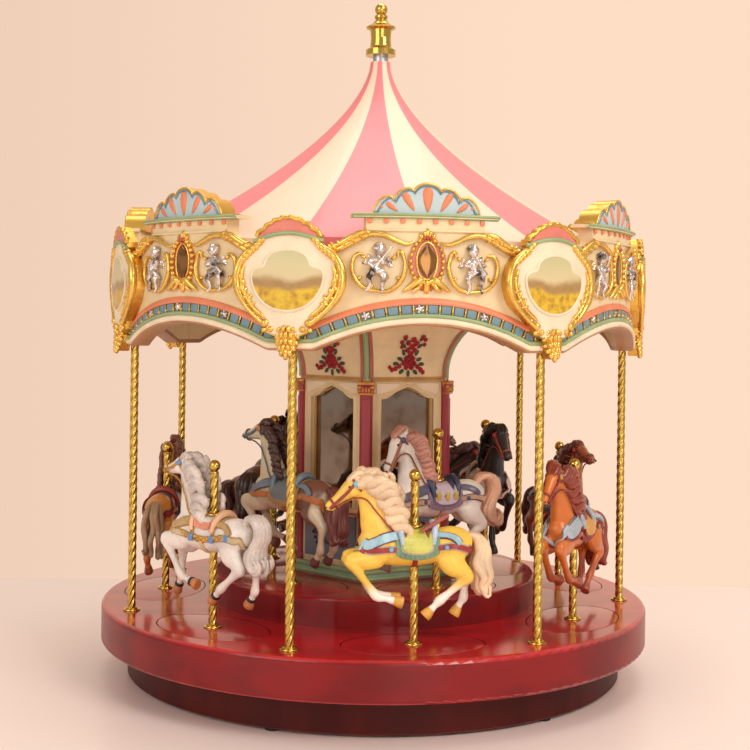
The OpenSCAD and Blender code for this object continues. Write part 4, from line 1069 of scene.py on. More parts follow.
    patch = lin(*spec["patch"]) if "patch" in spec else None
    coat = coat_finish(name + "_coat", lin(*spec["coat"]), lin(*spec["socks"]), floor * MM, patch)
    settle(moved(body, place), node + "_body", coat, rider, smooth=80, slot="painted_porcelain", replaces=(node,))
    for part, suffix, finish, smooth in made:
        settle(moved(part, place), node + "_" + suffix, finish, rider, smooth=smooth,
               slot="polished_brass" if finish == brass else "painted_porcelain")


dark_glaze = painted("dark_glaze", lin(24, 18, 16), rough=0.12, coat=0.8, wash=0.1)


# ---------------------------------------------------------------- stands and poles

ROPE_STARTS = 5
ROPE_PITCH = 36.0
OVAL = (49.5, 31.0)                      # half length and half width of a stand
BALL_R = 4.2


def twisted(height, radius):
    """A brass tube with a rope twist."""
    def shape(u, v):
        a = u * tau
        z = v * height
        wave = abs(sin((a - z / ROPE_PITCH * tau) * ROPE_STARTS / 2))
        r = radius * (0.68 + 0.32 * wave ** 0.75)
        return Vector((r * cos(a), r * sin(a), z))
    return form(40, max(8, round(height / ROPE_PITCH * 28)), shape)


def flange():
    """The collar where a pole meets its floor."""
    return turned([(POLE_R * share, z) for share, z in (
        (0.9, 0.02), (2.0, 0.02), (2.05, 0.5), (1.95, 1.1), (1.45, 1.25), (1.5, 1.7), (1.4, 2.2), (1.0, 2.4),
        (0.9, 2.4))], 40)


def ball():
    """The ball on a figure's pole, with its short neck."""
    z, r = POLE_TOP - BALL_R, BALL_R
    profile = [(0.0, z + r)]
    profile += [(r * sin(radians(a)), z + r * cos(radians(a))) for a in range(12, 151, 12)]
    profile += [(r * 0.42, z - r * 1.0), (r * 0.75, z - r * 1.25), (r * 0.75, z - r * 1.5), (0.0, z - r * 1.5)]
    return turned(profile[::-1], 32)


def stand(name, angle, radius, floor, finish):
    """Oval foot that lies in its recess, with a twisted pole and a ball on top."""
    place = ring_place(angle, radius, floor)
    rider = name.replace("_", "_figure_")
    node = name.replace("_", "_stand_")
    rings = [(0.0, -STAND_T), (0.985, -STAND_T), (1.0, -STAND_T + 0.6), (1.0, -0.5), (0.993, -0.05), (0.985, 0.0),
             (0.0, 0.0)]

    def shape(u, v):
        share, z = rings[round(v * 6)]
        turn = u * tau
        return Vector((OVAL[0] * share * cos(turn), OVAL[1] * share * sin(turn), z))
    settle(moved(form(72, 6, shape), place), node + "_oval", finish, rider, smooth=30, slot="stand_cherry",
           replaces=(node,))
    pole = joined([twisted(POLE_TOP - BALL_R * 2, POLE_R - 0.1), flange(), ball()])
    settle(moved(pole, place), node + "_pole", brass, rider, smooth=50, slot="polished_brass")


def figures():
    """Every stand with its horse, the outer ring first."""
    for ring, count, turn, radius, floor, wood, first in (
            ("outer", OUTER, 0.0, OUTER_RING_R, DECK_TOP, cherry, 1),
            ("inner", INNER, INNER_TURN, INNER_RING_R, PLATFORM_TOP, cherry_cross, 21)):
        for i in range(count):
            name = "%s_%d" % (ring, i + 1)
            angle = turn + i * (360 / count)
            stand(name, angle, radius, floor, wood)
            horse(name, FIGURES[name], angle, radius, floor, first + i)


def canopy_poles():
    """Seven twisted tubes from the deck to the canopy."""
    one = joined([twisted(BOARD_Z - DECK_TOP + 1, POLE_R), flange()])
    poles = around(one, OUTER, HALF_PANEL, POST_RING_R, DECK_TOP)
    settle(poles, "canopy_poles_twisted", brass, smooth=50, slot="polished_brass", replaces=("canopy_poles",))


figures()
canopy_poles()


# ---------------------------------------------------------------- rounding boards

DEG = BOARD_R * pi / 180            # one degree along the boards' face
ARCH_RISE = 17.5
FLAT = 4.6                               # degrees at each end of a panel that the arch leaves flat
CORNICE_HALF = 14.1                      # half of the cornice of one panel, in degrees
NECK_HALF = 11.5                         # half of the moulding under it, in degrees
NECK_Z = CORNICE_Z - 9.6
DENTIL_STEP = 2.52                       # degrees from one dentil to the next
DENTIL_END = 23.2                        # the last place for one, in degrees
DENTIL_RISE = 10.8                       # middle of the dentils above the arch
ROSETTE_PLACES = (-4, 0, 5)
PETAL_TURNS = (0.5, 1.8, 3.1, 4.4, 5.7)  # round a rosette, in radians
DOT_STEP = 3.1                           # degrees from one coral dot to the next
ALMOND_Z = 314.9                         # middle of an almond mirror


def arch(angle):
    """Rise of a board's lower edge, in degrees from the panel's middle."""
    t = min(1.0, abs(angle) / (HALF_PANEL - FLAT))
    return ARCH_RISE * (1 - t * t)


def moulding(profile, half=HALF_PANEL, level=None):
    """A run of moulding on a panel, along its arched edge or straight at a level.

    The profile is (out from the face, height above the edge or the level).
    """
    last = len(profile) - 1

    def shape(u, v):
        out, rise = profile[min(last, round(u * last))]
        angle = half * (2 * v - 1)
        z = BOARD_Z + rise + arch(angle) if level is None else level + rise
        a = radians(angle)
        return Vector(((BOARD_R + out) * sin(a), -(BOARD_R + out) * cos(a), z))
    obj = form(last, 60 if level is None else 30, shape, outward=False)
    if sum(p.normal.y for p in obj.data.polygons) > 0:
        obj.data.flip_normals()
    return obj


def tablet(stations, depth, back, dome):
    """A cushion-edged plate, symmetric about x = 0: stations are (height, half width)."""
    def shape(u, v):
        side = 2 * u - 1
        z, wide = along_line(stations, v)
        edge = (1 - abs(side) ** 12) * (1 - abs(2 * v - 1) ** 30)
        rise = -back - depth * min(1.0, edge * 1.6) - dome * (1 - side * side) * sin(v * pi)
        return Vector((side * max(0.0, wide), rise, z))
    return form(22, 48, shape)


def half_shell(x, z, rx, rz, out, turn=0.0, back=0.0, taper=0.0, segments=12, rings=8):
    """A drop in half relief, broad at its top end, narrower below by taper."""
    obj = bead(0, 0, 0, rx, out, rz, segments, rings)
    for v in obj.data.vertices:
        v.co.x *= 1 - taper * (0.5 - 0.5 * v.co.z / rz)
    return moved(obj, at(x, -back, z) @ tilt(turn, "Y"))


def on_boards(objs, name, finish, turn=0.0, smooth=50, replaces=(), wrap=True):
    """Wraps flat ornaments round the canopy at each panel."""
    one = joined(objs)
    if wrap:
        bent(one)
    return settle(around(one, OUTER, turn), name, finish, smooth=smooth, slot=slot_of(finish), replaces=replaces)


def on_medallions(objs, name, finish, smooth=50):
    """Ornaments where two panels meet."""
    return on_boards(objs, name, finish, HALF_PANEL, smooth)


def run(name, finish, *mouldings):
    """Mouldings that already follow the canopy, repeated at each panel."""
    on_boards(list(mouldings), name, finish, wrap=False)


def panel_mouldings():
    """Mouldings along the boards' arched edge and under the cornice."""
    # The lowest moulding and the boards' underside are painted brown as the shadow under the cream edge
    run("board_edge", painted_shade_brown, moulding(
        [(-11.2, 3), (-11.2, -0.3), (-6, -0.3), (2.2, -0.3), (2.7, 0.2), (2.5, 1.2), (-0.5, 1.4)]))
    run("board_lower_moulding", ivory, moulding(
        [(-0.5, 1.1), (3.1, 1.1), (3.9, 2.0), (4.1, 3.2), (3.8, 3.9), (2.9, 4.7), (2.2, 5.0), (-0.5, 5.1)]))
    run("mint_mouldings", mint,
        moulding([(-0.5, 4.9), (2.5, 4.9), (3.1, 5.5), (3.1, 7.0), (2.5, 7.6), (-0.5, 7.7)]),
        moulding([(-11.15, 0.05), (-11.15, 2.55), (-6, 2.6), (3.2, 2.6), (3.9, 2.1), (4.0, 1.5), (3.3, 0.7),
                  (1.2, -0.3), (1.0, -0.8), (-0.5, -0.9)], CORNICE_HALF + 0.1, CORNICE_Z))
    run("dentil_ground", slate, moulding([(-0.5, 7.4), (0.5, 7.5), (0.5, 14.0), (-0.5, 14.2)]))
    run("coral_band", coral, moulding(
        [(-0.5, 13.6), (2.2, 13.6), (2.6, 14.3), (2.5, 15.4), (1.4, 17.2), (0.9, 17.9), (-0.5, 18.0)]))
    panel_dentils()
    run("neck_mouldings", cream, moulding(
        [(-0.5, 0), (0.9, 0.2), (1.5, 0.9), (1.4, 1.7), (0.7, 2.2), (-0.5, 2.4)], NECK_HALF - 0.1, NECK_Z))


def panel_dentils():
    """Dentils, bars and rosettes along the arch, and dots under the cornice."""
    dentils, bars, rosettes = [], [], []
    for k in range(-9, 10):
        for a, whole in (((k - 0.5) * DENTIL_STEP, True), (k * DENTIL_STEP, False)):
            if abs(a) > DENTIL_END:
                continue
            slope = (arch(a + 0.5) - arch(a - 0.5)) / DEG
            cant = (at(a * DEG, 0, BOARD_Z + arch(a) + DENTIL_RISE)
                    @ Matrix.Rotation(-atan(slope), 4, "Y"))
            if not whole:
                bars.append(moved(block(-0.6, 0.6, -2.3, 0.2, -3.2, 2.6, 0.4), cant))
                bars.append(moved(half_shell(0, -1.6, 0.95, 1.5, 2.9), cant))
            elif k in ROSETTE_PLACES:
                rosettes.append(moved(half_shell(0, 0, 2.0, 2.2, 1.8, back=0.8), cant))
                for t in PETAL_TURNS:
                    petal = half_shell(2.1 * cos(t), 2.1 * sin(t), 1.1, 1.1, 1.2, back=0.8,
                                       segments=8, rings=6)
                    rosettes.append(moved(petal, cant))
            else:
                dentils.append(moved(block(-3.3, 3.3, -1.9, 0.2, -3.0, 2.6, 0.6), cant))
    dots = [moved(block(-1.6, 1.6, -1.5, 0.2, -1.5, 1.6, 0.7),
                  at((k - 3.5) * DOT_STEP * DEG, 0, CORNICE_Z - 2.4)) for k in range(8)]
    on_boards(dentils, "dentils", slate)
    on_boards(bars, "dentil_bars", gold)
    on_boards(rosettes, "dentil_rosettes", dark_mottled_silver)
    on_boards(dots, "coral_dots", coral)


def almond(cells, half, blunt, sharp, out, bow, low, tall):
    """An upright almond, blunt below and sharp above, bowed forward."""
    def shape(u, v):
        return Vector(((2 * u - 1) * half * sin(v * pi) ** (blunt if v < 0.5 else sharp),
                       -out - bow * sin(u * pi), low + tall * v))
    return form(cells, cells, shape, outward=False)


def panel_centre():
    """Almond mirror in its jewelled frame, with leaves above and below."""
    glass = facing(almond(14, 6.0, 0.7, 1.1, 1.6, 0.5, ALMOND_Z - 11.4, 23.4), 90)
    on_boards([glass], "almond_mirrors", dark_glass)
    gold_bits, ruby_bits, rim = [], [], []
    for k in range(24):
        a = k / 24 * tau
        lean = 1.1 if cos(a) > 0 else 0.75
        x = 7.6 * abs(sin(a)) ** lean * copysign(1, sin(a))
        rim.append((x * 0.9, -1.3, ALMOND_Z + 12.2 * cos(a) + 0.3))
        bit = half_shell(x * 1.42, ALMOND_Z + 15.6 * cos(a), 1.7, 1.8, 2.9, back=0.8, segments=10, rings=6)
        (ruby_bits if k in (0, 1, 23) else gold_bits).append(bit)
    ground = facing(almond(20, 12.6, 0.6, 0.95, 0.9, 0.0, ALMOND_Z - 17.0, 35.0), 200)
    ruby_bits.append(changed(ground, "SOLIDIFY", thickness=0.8, offset=-1.0))
    gold_bits.append(strand(rim, 0.8, closed=True))
    for side in (-1, 1):
        gold_bits += [half_shell(side * 3.6, ALMOND_Z + 15.5, 1.6, 3.4, 2.2, turn=side * 30, back=0.4),
                      half_shell(side * 1.6, ALMOND_Z + 17.4, 1.3, 3.2, 2.0, turn=side * 12, back=0.4)]
        leaf = [(side * 1, -1.6, 300.5, 0.8), (side * 5, -2.4, 302.2, 1.5), (side * 9, -2.4, 299.6, 1.25),
                (side * 13, -2.0, 296.8, 0.9), (side * 16, -1.6, 294.8, 0.3)]
        gold_bits.append(strand(leaf, 1.7))
        stem = [(side * 4, -2, 300, 0.9), (side * 6.5, -2.4, 296.8, 1.1), (side * 10, -1.8, 294.6, 0.4)]
        gold_bits.append(strand(stem, 1.4))
        ruby_bits.append(half_shell(side * 3.4, 297.4, 1.3, 2.2, 1.4, turn=side * 25, back=0.3))
    gold_bits.append(half_shell(0, 298.5, 2.2, 5.0, 2.6, back=0.3, taper=-0.4))
    gold_bits.append(half_shell(0, ALMOND_Z + 17.6, 2.0, 4.2, 2.6, back=0.4, taper=0.3))
    on_boards(gold_bits, "almond_frames", bright_gold)
    on_boards(ruby_bits, "almond_rubies", ruby)


RING_ANGLE, RING_Z, RING_R = 9.0, 310.8, 17.0      # a ring scroll: degrees across, height and radius

# A ring scroll as (degrees, share of the radius, out, thickness), and leaf scrolls as (across, out, z, thickness)
RING_LINE = ((-62, 0.82, -1.4, 0.5), (-52, 0.98), (-75,), (-100, 1.0, -2.2, 1.2), (-130, 1.0, -2.2, 1.2),
             (-160, 0.98), (175, 0.92, -1.6, 0.9), (150, 0.98), (120, 1.02, -2.0, 1.1), (90, 1.02), (62, 0.98),
             (50, 0.8, -1.4, 0.5))
LEAF_LINES = (
    ((9, -1.2, 327.6, 0.35), (13, -1.8, 326.0, 0.9), (20, -2.2, 328.0, 1.2), (28, -2.4, 331.4, 1.3),
     (36.5, -2.4, 332.2, 1.4), (43, -2.6, 330.2, 1.6), (51, -2.8, 325.8, 1.7), (59.5, -2.6, 321.4, 1.3),
     (64, -2.2, 320.2, 0.7)),
    ((33, -2.0, 330.6, 0.5), (40, -3.0, 333.4, 1.0), (46.5, -3.6, 331.6, 1.5), (54, -3.6, 327.2, 1.5),
     (61, -3.0, 324.4, 1.1), (63.4, -2.2, 326.4, 0.5)))
RING_DROPS = ((-58, 0.66), (-120, 0.86), (120, 0.86), (160, 0.8), (58, 0.7))


def both_ways(line, side):
    """A line of points on one side of the panel's middle."""
    return [(side * x, *rest) for x, *rest in line]


def panel_scrolls():
    """Ring scrolls round the children, and the leafy scroll under the cornice."""
    lines, drops = [], []
    for side in (-1, 1):
        def ring_at(deg, share=1.0, out=-1.9, k=1.0):
            """A point on this side's ring scroll."""
            a = radians(deg)
            return (side * RING_ANGLE * DEG + side * RING_R * share * sin(a), out,
                    RING_Z + RING_R * share * cos(a), k)
        lines.append([ring_at(*place) for place in RING_LINE])
        lines += [both_ways(line, side) for line in LEAF_LINES]
        for k in range(9):
            t = k / 8
            drops.append(half_shell(side * (40 + 23 * t), 332.6 - 9.4 * t - 1.6 * (k % 2), 1.5, 3.0, 4.4,
                                    turn=side * 52, back=1.4))
        for deg, share in RING_DROPS:
            x, _, z, _ = ring_at(deg, share)
            drops.append(half_shell(x, z, 1.3, 2.0, 1.8, turn=deg * side, back=0.4))
    on_boards([strands(lines, 1.35, smooth=6)] + drops, "panel_scrolls", bright_gold)
    blocks = [moved(block(-4.6, 4.6, -1.2, 4.0, -3.4, 3.4, 1.0), at(side * 18.6 * DEG, 0, 321.6))
              for side in (-1, 1)]
    on_boards(blocks, "crimson_blocks", crimson)


def child_form(horn):
    """A small winged child with an instrument, in half relief, about 34 mm tall."""
    parts = [bead(0, -3.6, 11.5, 3.9, 3.6, 4.1), bead(0, -3.2, 3.2, 3.6, 3.0, 4.2),
             bead(0.2, -3.0, -2.2, 3.7, 3.0, 3.4)]
    for k in range(9):
        a = k / 9 * tau
        parts.append(bead(3.1 * cos(a), -3.6 + 1.2 * sin(3 * a), 12.8 + 2.6 * sin(a),
                          1.5, 1.7, 1.5, 8, 6))
    parts.append(bead(0, -6.4, 10.9, 0.8, 0.9, 0.9, 8, 6))
    arms = [[(-3, -3, 5.5, 1), (-5.8, -4.6, 2.6, .9), (-2.6, -6.4, 2.4 if horn else 0.2, .75)],
            [(3, -3, 5.5, 1), (5.6, -4.6, 3.4, .9), (3.0 if horn else 6.4, -6.4, 6.4, .75)]]
    legs = [[(-1.8, -3, -3.4, 1.35), (-4.8, -5.2, -7.2, 1.15), (-3.4, -4.0, -11.6, .85), (-4.8, -4.2, -15.4, .65),
             (-6.2, -5.0, -16.2, .6)],
            [(1.8, -3, -3.4, 1.35), (5.0, -5.4, -6.4, 1.15), (4.4, -4.0, -11.4, .85), (5.0, -4.2, -15.0, .65),
             (4.0, -5.2, -16.4, .6)]]
    parts.append(strands(arms + legs, 1.75, smooth=5))
    for side in (-1, 1):
        for k in range(3):
            parts.append(half_shell(side * (5.4 + k * 1.5), 5.6 - k * 1.9, 1.3, 3.4 - k * 0.5, 1.6,
                                    turn=side * (42 + 22 * k), back=0.8))
    drape = [(-4.6, -4.6, -1.6, .8), (-1, -6, -3.2, 1.1), (3, -5.8, -2.4, 1.1), (6.4, -4, -4.6, .9),
             (8.2, -2, -7.4, .4)]
    parts.append(strand(drape, 1.5))
    if horn:
        tube = [(0.4, -7.0, 8.6, .5), (2.2, -7.4, 4.4, .7), (4.2, -6.8, 0.4, 1.0), (6.4, -5.6, -3.0, 1.9),
                (7.2, -5.2, -4.4, 2.4)]
        parts.append(strand(tube, 1.05))
    else:
        parts.append(bead(-1.4, -6.2, -0.6, 3.0, 1.5, 3.4))
        neck = [(-0.6, -7, 1.2, 1), (2.8, -6.8, 6.4, .9), (6.6, -6.0, 12.8, .8), (7.6, -5.6, 14.6, 1.6)]
        parts.append(strand(neck, 0.95))
    child = joined(parts)
    changed(child, "REMESH", mode="VOXEL", voxel_size=0.66)
    return changed(child, "SMOOTH", factor=0.5, iterations=2)


def panel_children():
    """Two children on each panel, one with a lute and one with a horn."""
    pair = [moved(child_form(horn), at(across * DEG, 1.2, z)
                  @ tilt(lean, "Y"))
            for horn, across, z, lean in ((False, -9.3, 310.6, 6), (True, 9.0, 310.4, -3))]
    on_boards(pair, "silver_children", dark_mottled_silver, smooth=80)


# ---------------------------------------------------------------- fans and medallions

FAN_Z = CORNICE_Z + 2.4
FAN_D = 14.8
FAN_CUSPS = ((0.0, 14.2), (9.3, 14.2), (23.1, 8.3), (36.3, 0.6))      # where the lobes meet: (across, height)
FAN_BUMPS = (6.4, 5.4, 6.6)                                           # each lobe's rise above its cusps
FAN_HALF = 36.3
FAN_LOW = 0.4                                                         # least height of the top edge


def fan_height(x, inset=0.0):
    """Height of the scalloped top edge."""
    x = min(FAN_HALF - 0.01, abs(x) * (1 + inset / 30))
    for (a, low), (b, high), rise in zip(FAN_CUSPS, FAN_CUSPS[1:], FAN_BUMPS):
        if x <= b:
            share = (x - a) / (b - a)
            across = share if a == 0 else 2 * share - 1
            bump = rise * sqrt(max(0.0, 1 - across * across))
            return max(FAN_LOW, low + (high - low) * share + bump - inset)
    return FAN_LOW


def fan_across(count=20):
    """Places across a fan, closer together near its cusps."""
    cusps = (-36.3, -23.1, -9.3, 9.3, 23.1, 36.3)
    spots = []
    for a, b in zip(cusps, cusps[1:]):
        spots += [(a + b) / 2 - (b - a) / 2 * cos(pi * k / count) for k in range(count)]
    return spots + [FAN_HALF]


def fan_line(narrow, out, inset):
    """A line along a fan's top edge, set in from it."""
    return [(x * narrow, -out, FAN_Z + fan_height(x, inset)) for x in fan_across(10)]


def fan_faces():
    """Scalloped shells: a gilt body, a pale face with a shaded edge, and coral drops."""
    spots = fan_across()
    last = len(spots) - 1
    ring = ((0.0, 0), (0.0, 1), (0.3, 1), (0.3, 1), (FAN_D, 1), (FAN_D, 0), (0.0, 0))

    def body_shape(u, v):
        x = spots[round(v * last)]
        back, up = ring[round(u * 6)]
        return Vector((x, back, FAN_Z + (fan_height(x) * up if 0 < v < 1 else 0.0)))

    def face_shape(u, v):
        x = spots[round(u * last)]
        return Vector((x * 0.99, -0.25 - 0.5 * sin(v * pi), FAN_Z + v * max(0.3, fan_height(x) - 0.5)))
    on_boards([form(6, last, body_shape)], "fan_bodies", gold, replaces=("fan_crests",), smooth=35)
    on_boards([facing(form(last, 8, face_shape, outward=False), 300)], "fan_faces", sky)
    on_boards([strand(fan_line(1.0, 0.5, 0.5), 0.85, smooth=1)], "fan_rims", gold)
    # The slate line inside the rim is partly the face's slate edging and partly painted shade under the rim
    on_boards([strand(fan_line(0.965, 0.55, 1.9), 0.8, sides=1, smooth=1)], "fan_shading", slate)
    drops = [half_shell(0, FAN_Z + 9.6, 4.9, 8.4, 1.3, back=0.6, taper=0.66)]
    for side in (-1, 1):
        drops.append(half_shell(side * 12.6, FAN_Z + 8.2, 3.3, 7.4, 1.2, turn=side * 32, back=0.6, taper=0.6))
        drops.append(half_shell(side * 23.6, FAN_Z + 4.4, 2.4, 5.0, 1.1, turn=side * 54, back=0.6, taper=0.6))
        drops.append(half_shell(side * 30.6, FAN_Z + 4.6, 1.1, 1.3, 0.9, back=0.7))
    on_boards(drops, "fan_drops", coral)


MEDAL_W = 37.0                           # half the width of a medallion
MEDAL_T = 8.15                           # its front, out from the boards
MEDALLION = [(265.5, 9.5), (268, 13), (272, 15.5), (276, 20), (281, 26.6), (287, 31.6), (295, 34.6), (303, 35.6),
             (311, 33.6), (317, 29.6), (321.5, 24), (324.5, 18.6), (327.5, 17.6), (332.0, 19.6)]
PICTURE_LOW, PICTURE_HIGH = 281.0, 321.2
PICTURE_TALL = PICTURE_HIGH - PICTURE_LOW
CREST_HALF = 0.6 * MEDAL_W
CREST_Z = BOARD_Z + 75
RIM_BULGE = 0.51 * MEDAL_W

# The side scrolls: degrees and thickness along the rim, with the points (across, z, thickness) before and after
OUTER_RIM = ((62, 1.0), (48, 1.25), (32, 1.6), (14, 1.85), (-6, 1.85), (-26, 1.6), (-46, 1.25))
INNER_RIM = ((30, 0.4), (14, 0.8), (-6, 0.9), (-26, 0.9), (-48, 0.9))
RIM_HEAD = ((18.6, 326.2, 0.7), (24.0, 322.6, 1.0))
RIM_TAIL = ((24.5, 280.4, 1.0), (18.5, 275.2, 1.1), (14.8, 272.6, 1.3))
INNER_TAIL = ((23.0, 283.8, 0.9), (17.4, 279.0, 0.8), (14.8, 276.6, 0.4))
RIM_DROPS = (4, -8, -20, -31, -42, -53, -64)
KNOBS = ((14.6, 273.2, 2.9), (19.4, 276.6, 2.1), (10.6, 269.2, 2.2), (15.4, 268.6, 1.8), (22.6, 279.6, 1.7))
BOSS_ROWS = ((269.4, 5.2, 4), (265.6, 6.4, 5), (261.2, 5.9, 5), (257.4, 4.4, 4), (254.0, 2.6, 3), (251.6, 1.2, 1))


def picture_edge(v):
    """Half width of the picture at share v of its height."""
    if v < 0.6:
        return 24.0 * sin(acos(max(-1.0, 1 - v / 0.6)) * 0.985) ** 0.92
    if v < 0.68:
        return 24.0 - (v - 0.6) / 0.08 * 1.4
    if v < 0.74:
        return 22.6 - (v - 0.68) / 0.06 * 7.6
    return 15.0 * sqrt(max(0.0, 1 - ((v - 0.74) / 0.26) ** 2.4))


def medal_rim(deg, inset):
    """A point on the medallion's side curve, seen from its middle."""
    a = radians(deg)
    return MEDAL_W - RIM_BULGE + (RIM_BULGE - inset) * cos(a), BOARD_Z + 47 + (23 - inset) * sin(a)


def medallion_pictures():
    """The shield, the picture on it and the picture's border."""
    on_medallions([tablet(MEDALLION, 1.0, MEDAL_T - 0.5, 0.8)], "medallion_shields", ivory)

    def shape(u, v):
        return Vector(((2 * u - 1) * picture_edge(v), -MEDAL_T - 1.7 - 0.4 * sin(v * pi),
                       PICTURE_LOW + PICTURE_TALL * v))
    view = facing(form(24, 36, shape, outward=False), 400)
    changed(view, "SOLIDIFY", thickness=0.8, offset=-1.0)
    on_medallions([view], "medallion_pictures", picture)
    border = [(side * picture_edge(k / 26), -MEDAL_T - 1.5, PICTURE_LOW + PICTURE_TALL * k / 26)
              for side, ks in ((1, range(0, 27)), (-1, range(25, 0, -1))) for k in ks]
    on_medallions([strand(border, 0.9, closed=True, sides=1, smooth=2)], "picture_borders", ivory)


def medallion_scrolls():
    """Scrolls down both sides of a medallion, with their drops and knobs."""
    lines, drops = [], []
    for side in (-1, 1):
        rims = (([*RIM_HEAD, *((*medal_rim(deg, 1.6), share) for deg, share in OUTER_RIM), *RIM_TAIL], 0.4),
                ([*((*medal_rim(deg, 5.6), share) for deg, share in INNER_RIM), *INNER_TAIL], 1.2))
        lines += [[(side * x, -MEDAL_T - out, z, share) for x, z, share in rim] for rim, out in rims]
        for k in range(6):
            t = k / 5
            drops.append(half_shell(side * (18.2 + 13.0 * t), 327.4 - 12.4 * t, 1.9, 4.0, 3.4, turn=side * -64,
                                    back=MEDAL_T - 0.2))
            drops.append(half_shell(side * (20.4 + 11.6 * t), 323.2 - 10.0 * t, 1.3, 2.6, 3.0, turn=side * -20,
                                    back=MEDAL_T - 0.2))
        for k, deg in enumerate(RIM_DROPS):
            x, z = medal_rim(deg, 4.6 + (k % 2) * 2.2)
            drops.append(half_shell(side * x, z, 1.5, 3.3, 3.0, turn=side * (deg + (24 if k % 2 else -16)),
                                    back=MEDAL_T + 0.2))
        drops += [half_shell(side * x, z, r, r, r, back=MEDAL_T + 0.2) for x, z, r in KNOBS]
    on_medallions([strands(lines, 1.7, sides=3, smooth=6)] + drops, "medallion_scrolls", bright_gold, 70)


def medallion_crests():
    """The pink crest over a medallion, its beaded edge and the hood below it."""
    crest = []
    for k in range(25):
        t = 2 * k / 24 - 1
        wave = 0.8 * abs(sin(k * pi / 3))
        crest.append((t * (CREST_HALF - 0.8 + wave),
                      CREST_Z + 12.0 * cos(t * pi / 2) ** 0.9 + wave - 0.6))

    def shape(u, v):
        t = 2 * u - 1
        bow = max(0.0, cos(t * pi / 2))
        low_edge, high_edge = CREST_Z - 3.2 + 5.2 * bow ** 1.1, CREST_Z - 1.6 + 13.0 * bow ** 0.9
        return Vector((t * (CREST_HALF - 1.2), -MEDAL_T - 0.7, low_edge + (high_edge - low_edge) * v))
    face = facing(form(36, 6, shape, outward=False), 20)
    changed(face, "SOLIDIFY", thickness=0.7, offset=-1.0)
    on_medallions([face], "medallion_crests", shell_pink)
    edge = [strand([(x, -MEDAL_T - 0.2, z) for x, z in crest], 1.5, smooth=2)]
    edge += [half_shell(x, z + 0.4, 2.0, 1.7, 2.4, back=MEDAL_T - 0.6, segments=10, rings=6) for x, z in crest[1::3]]
    on_medallions(edge, "crest_edges", gold)
    hood = []
    for k in range(13):
        t = 2 * k / 12 - 1
        hood.append((t * 23.5, -MEDAL_T - 0.6 - 0.5 * (1 - t * t),
                     CREST_Z - 3.4 + 5.2 * cos(t * pi / 2) ** 1.1, 1.0))
    on_medallions([strand(hood, 1.35, smooth=3)], "medallion_hoods", mint)


def leaf_bosses():
    """Rows of leaves that hang under a medallion."""
    boss = []
    for z, w, n in BOSS_ROWS:
        for k in range(n):
            x = 0 if n == 1 else w * (2 * k / (n - 1) - 1)
            boss.append(half_shell(x, z - 0.1 * abs(x), 1.5, 2.7, 2.2, turn=-x * 6,
                                   back=MEDAL_T + 1.4 - 0.07 * x * x, taper=-0.3, segments=10, rings=6))
    on_medallions(boss, "leaf_bosses", bright_gold)


def dark_glass_finish():
    """Old dark mirror glass."""
    f = Finish("dark_glass", rough=0.08, metal=0.6)
    haze = f.noise(90, 2)
    f.set("Base Color", f.mix(haze.step(0.4, 0.7), lin(150, 104, 54), lin(96, 62, 34)))
    return f.mat


def picture_finish():
    """A hazy painted landscape: pale sky, far hills and a golden field."""
    f = Finish("painted_view", rough=0.4, coat=0.3)
    z = f.axes()[2]
    wide = f.noise(42, 4)
    fine = f.noise(210, 4, seed=6.0)
    height = (z - 0.281) / 0.0402 + (wide - 0.5) * 0.3
    sky_tone = f.mix(height.step(0.55, 1.0), lin(214, 196, 148), lin(196, 190, 140))
    hill = f.mix(fine, lin(150, 112, 62), lin(186, 150, 92))
    warm = f.noise(7, 1, seed=9.0).step(0.42, 0.58)
    field = f.mix(warm, f.mix(fine.step(0.35, 0.65), lin(224, 186, 48), lin(196, 150, 34)),
                  f.mix(fine.step(0.35, 0.65), lin(216, 150, 52), lin(176, 106, 40)))
    tone = f.mix(height.step(0.48, 0.62), f.mix(height.step(0.33, 0.44), field, hill), sky_tone)
    f.set("Base Color", f.mix((fine > 0.62) * (height < 0.5) * 0.3, tone, lin(120, 96, 48)))
    return f.bump(fine, 0.00008, 0.4)


dark_glass = dark_glass_finish()
picture = picture_finish()
ruby = painted("ruby_glaze", lin(206, 88, 46), rough=0.25, coat=0.5, wash=0.6)
panel_mouldings()
panel_centre()
panel_scrolls()
panel_children()
fan_faces()
medallion_pictures()
medallion_scrolls()
medallion_crests()
leaf_bosses()
eave = turned([(187.0, 314.5), (189.0, 314.5), (189.0, 330.9), (187.0, 330.9), (187.0, 314.5)], 180)
settle(eave, "eave_band", tent)


# ---------------------------------------------------------------- centre column

FACE_HALF = 30.9                         # half the width of a face
COVE_START = 234.7
COVE_R = 52.6
MIRROR_W = 23.4
MIRROR_LOW = 131.9
MIRROR_SHOULDER = 215.9
MIRROR_CROWN = 9.5
CORNER_TURN = INNER_STEP / 2             # from the middle of a face to its corner
BASE_R = 67.4


def on_column(objs, name, finish, corner=False):
    """Ornaments of one face, or of one corner, repeated round the column."""
    one = joined(objs)
    turn = COLUMN_TURN + (CORNER_TURN if corner else 0)
    return settle(around(one, INNER, turn, 0 if corner else FACE_DIST), name, finish, smooth=45,
                  slot=slot_of(finish))


def trim(path, section):
    """A moulding run round a closed outline [(x, z)]; its section is (outward, proud)."""
    n = len(path)
    turns = []
    for i, (x, z) in enumerate(path):
        ax, az = x - path[i - 1][0], z - path[i - 1][1]
        bx, bz = path[(i + 1) % n][0] - x, path[(i + 1) % n][1] - z
        la, lb = hypot(ax, az), hypot(bx, bz)
        nx, nz = az / la + bz / lb, -ax / la - bx / lb
        share = 2 / (nx * nx + nz * nz)
        turns.append((nx * share, nz * share))

    def shape(u, v):
        i = round(v * n) % n
        off, out = section[round(u * (len(section) - 1))]
        return Vector((path[i][0] + turns[i][0] * off, -out, path[i][1] + turns[i][1] * off))
    return form(len(section) - 1, n, shape)


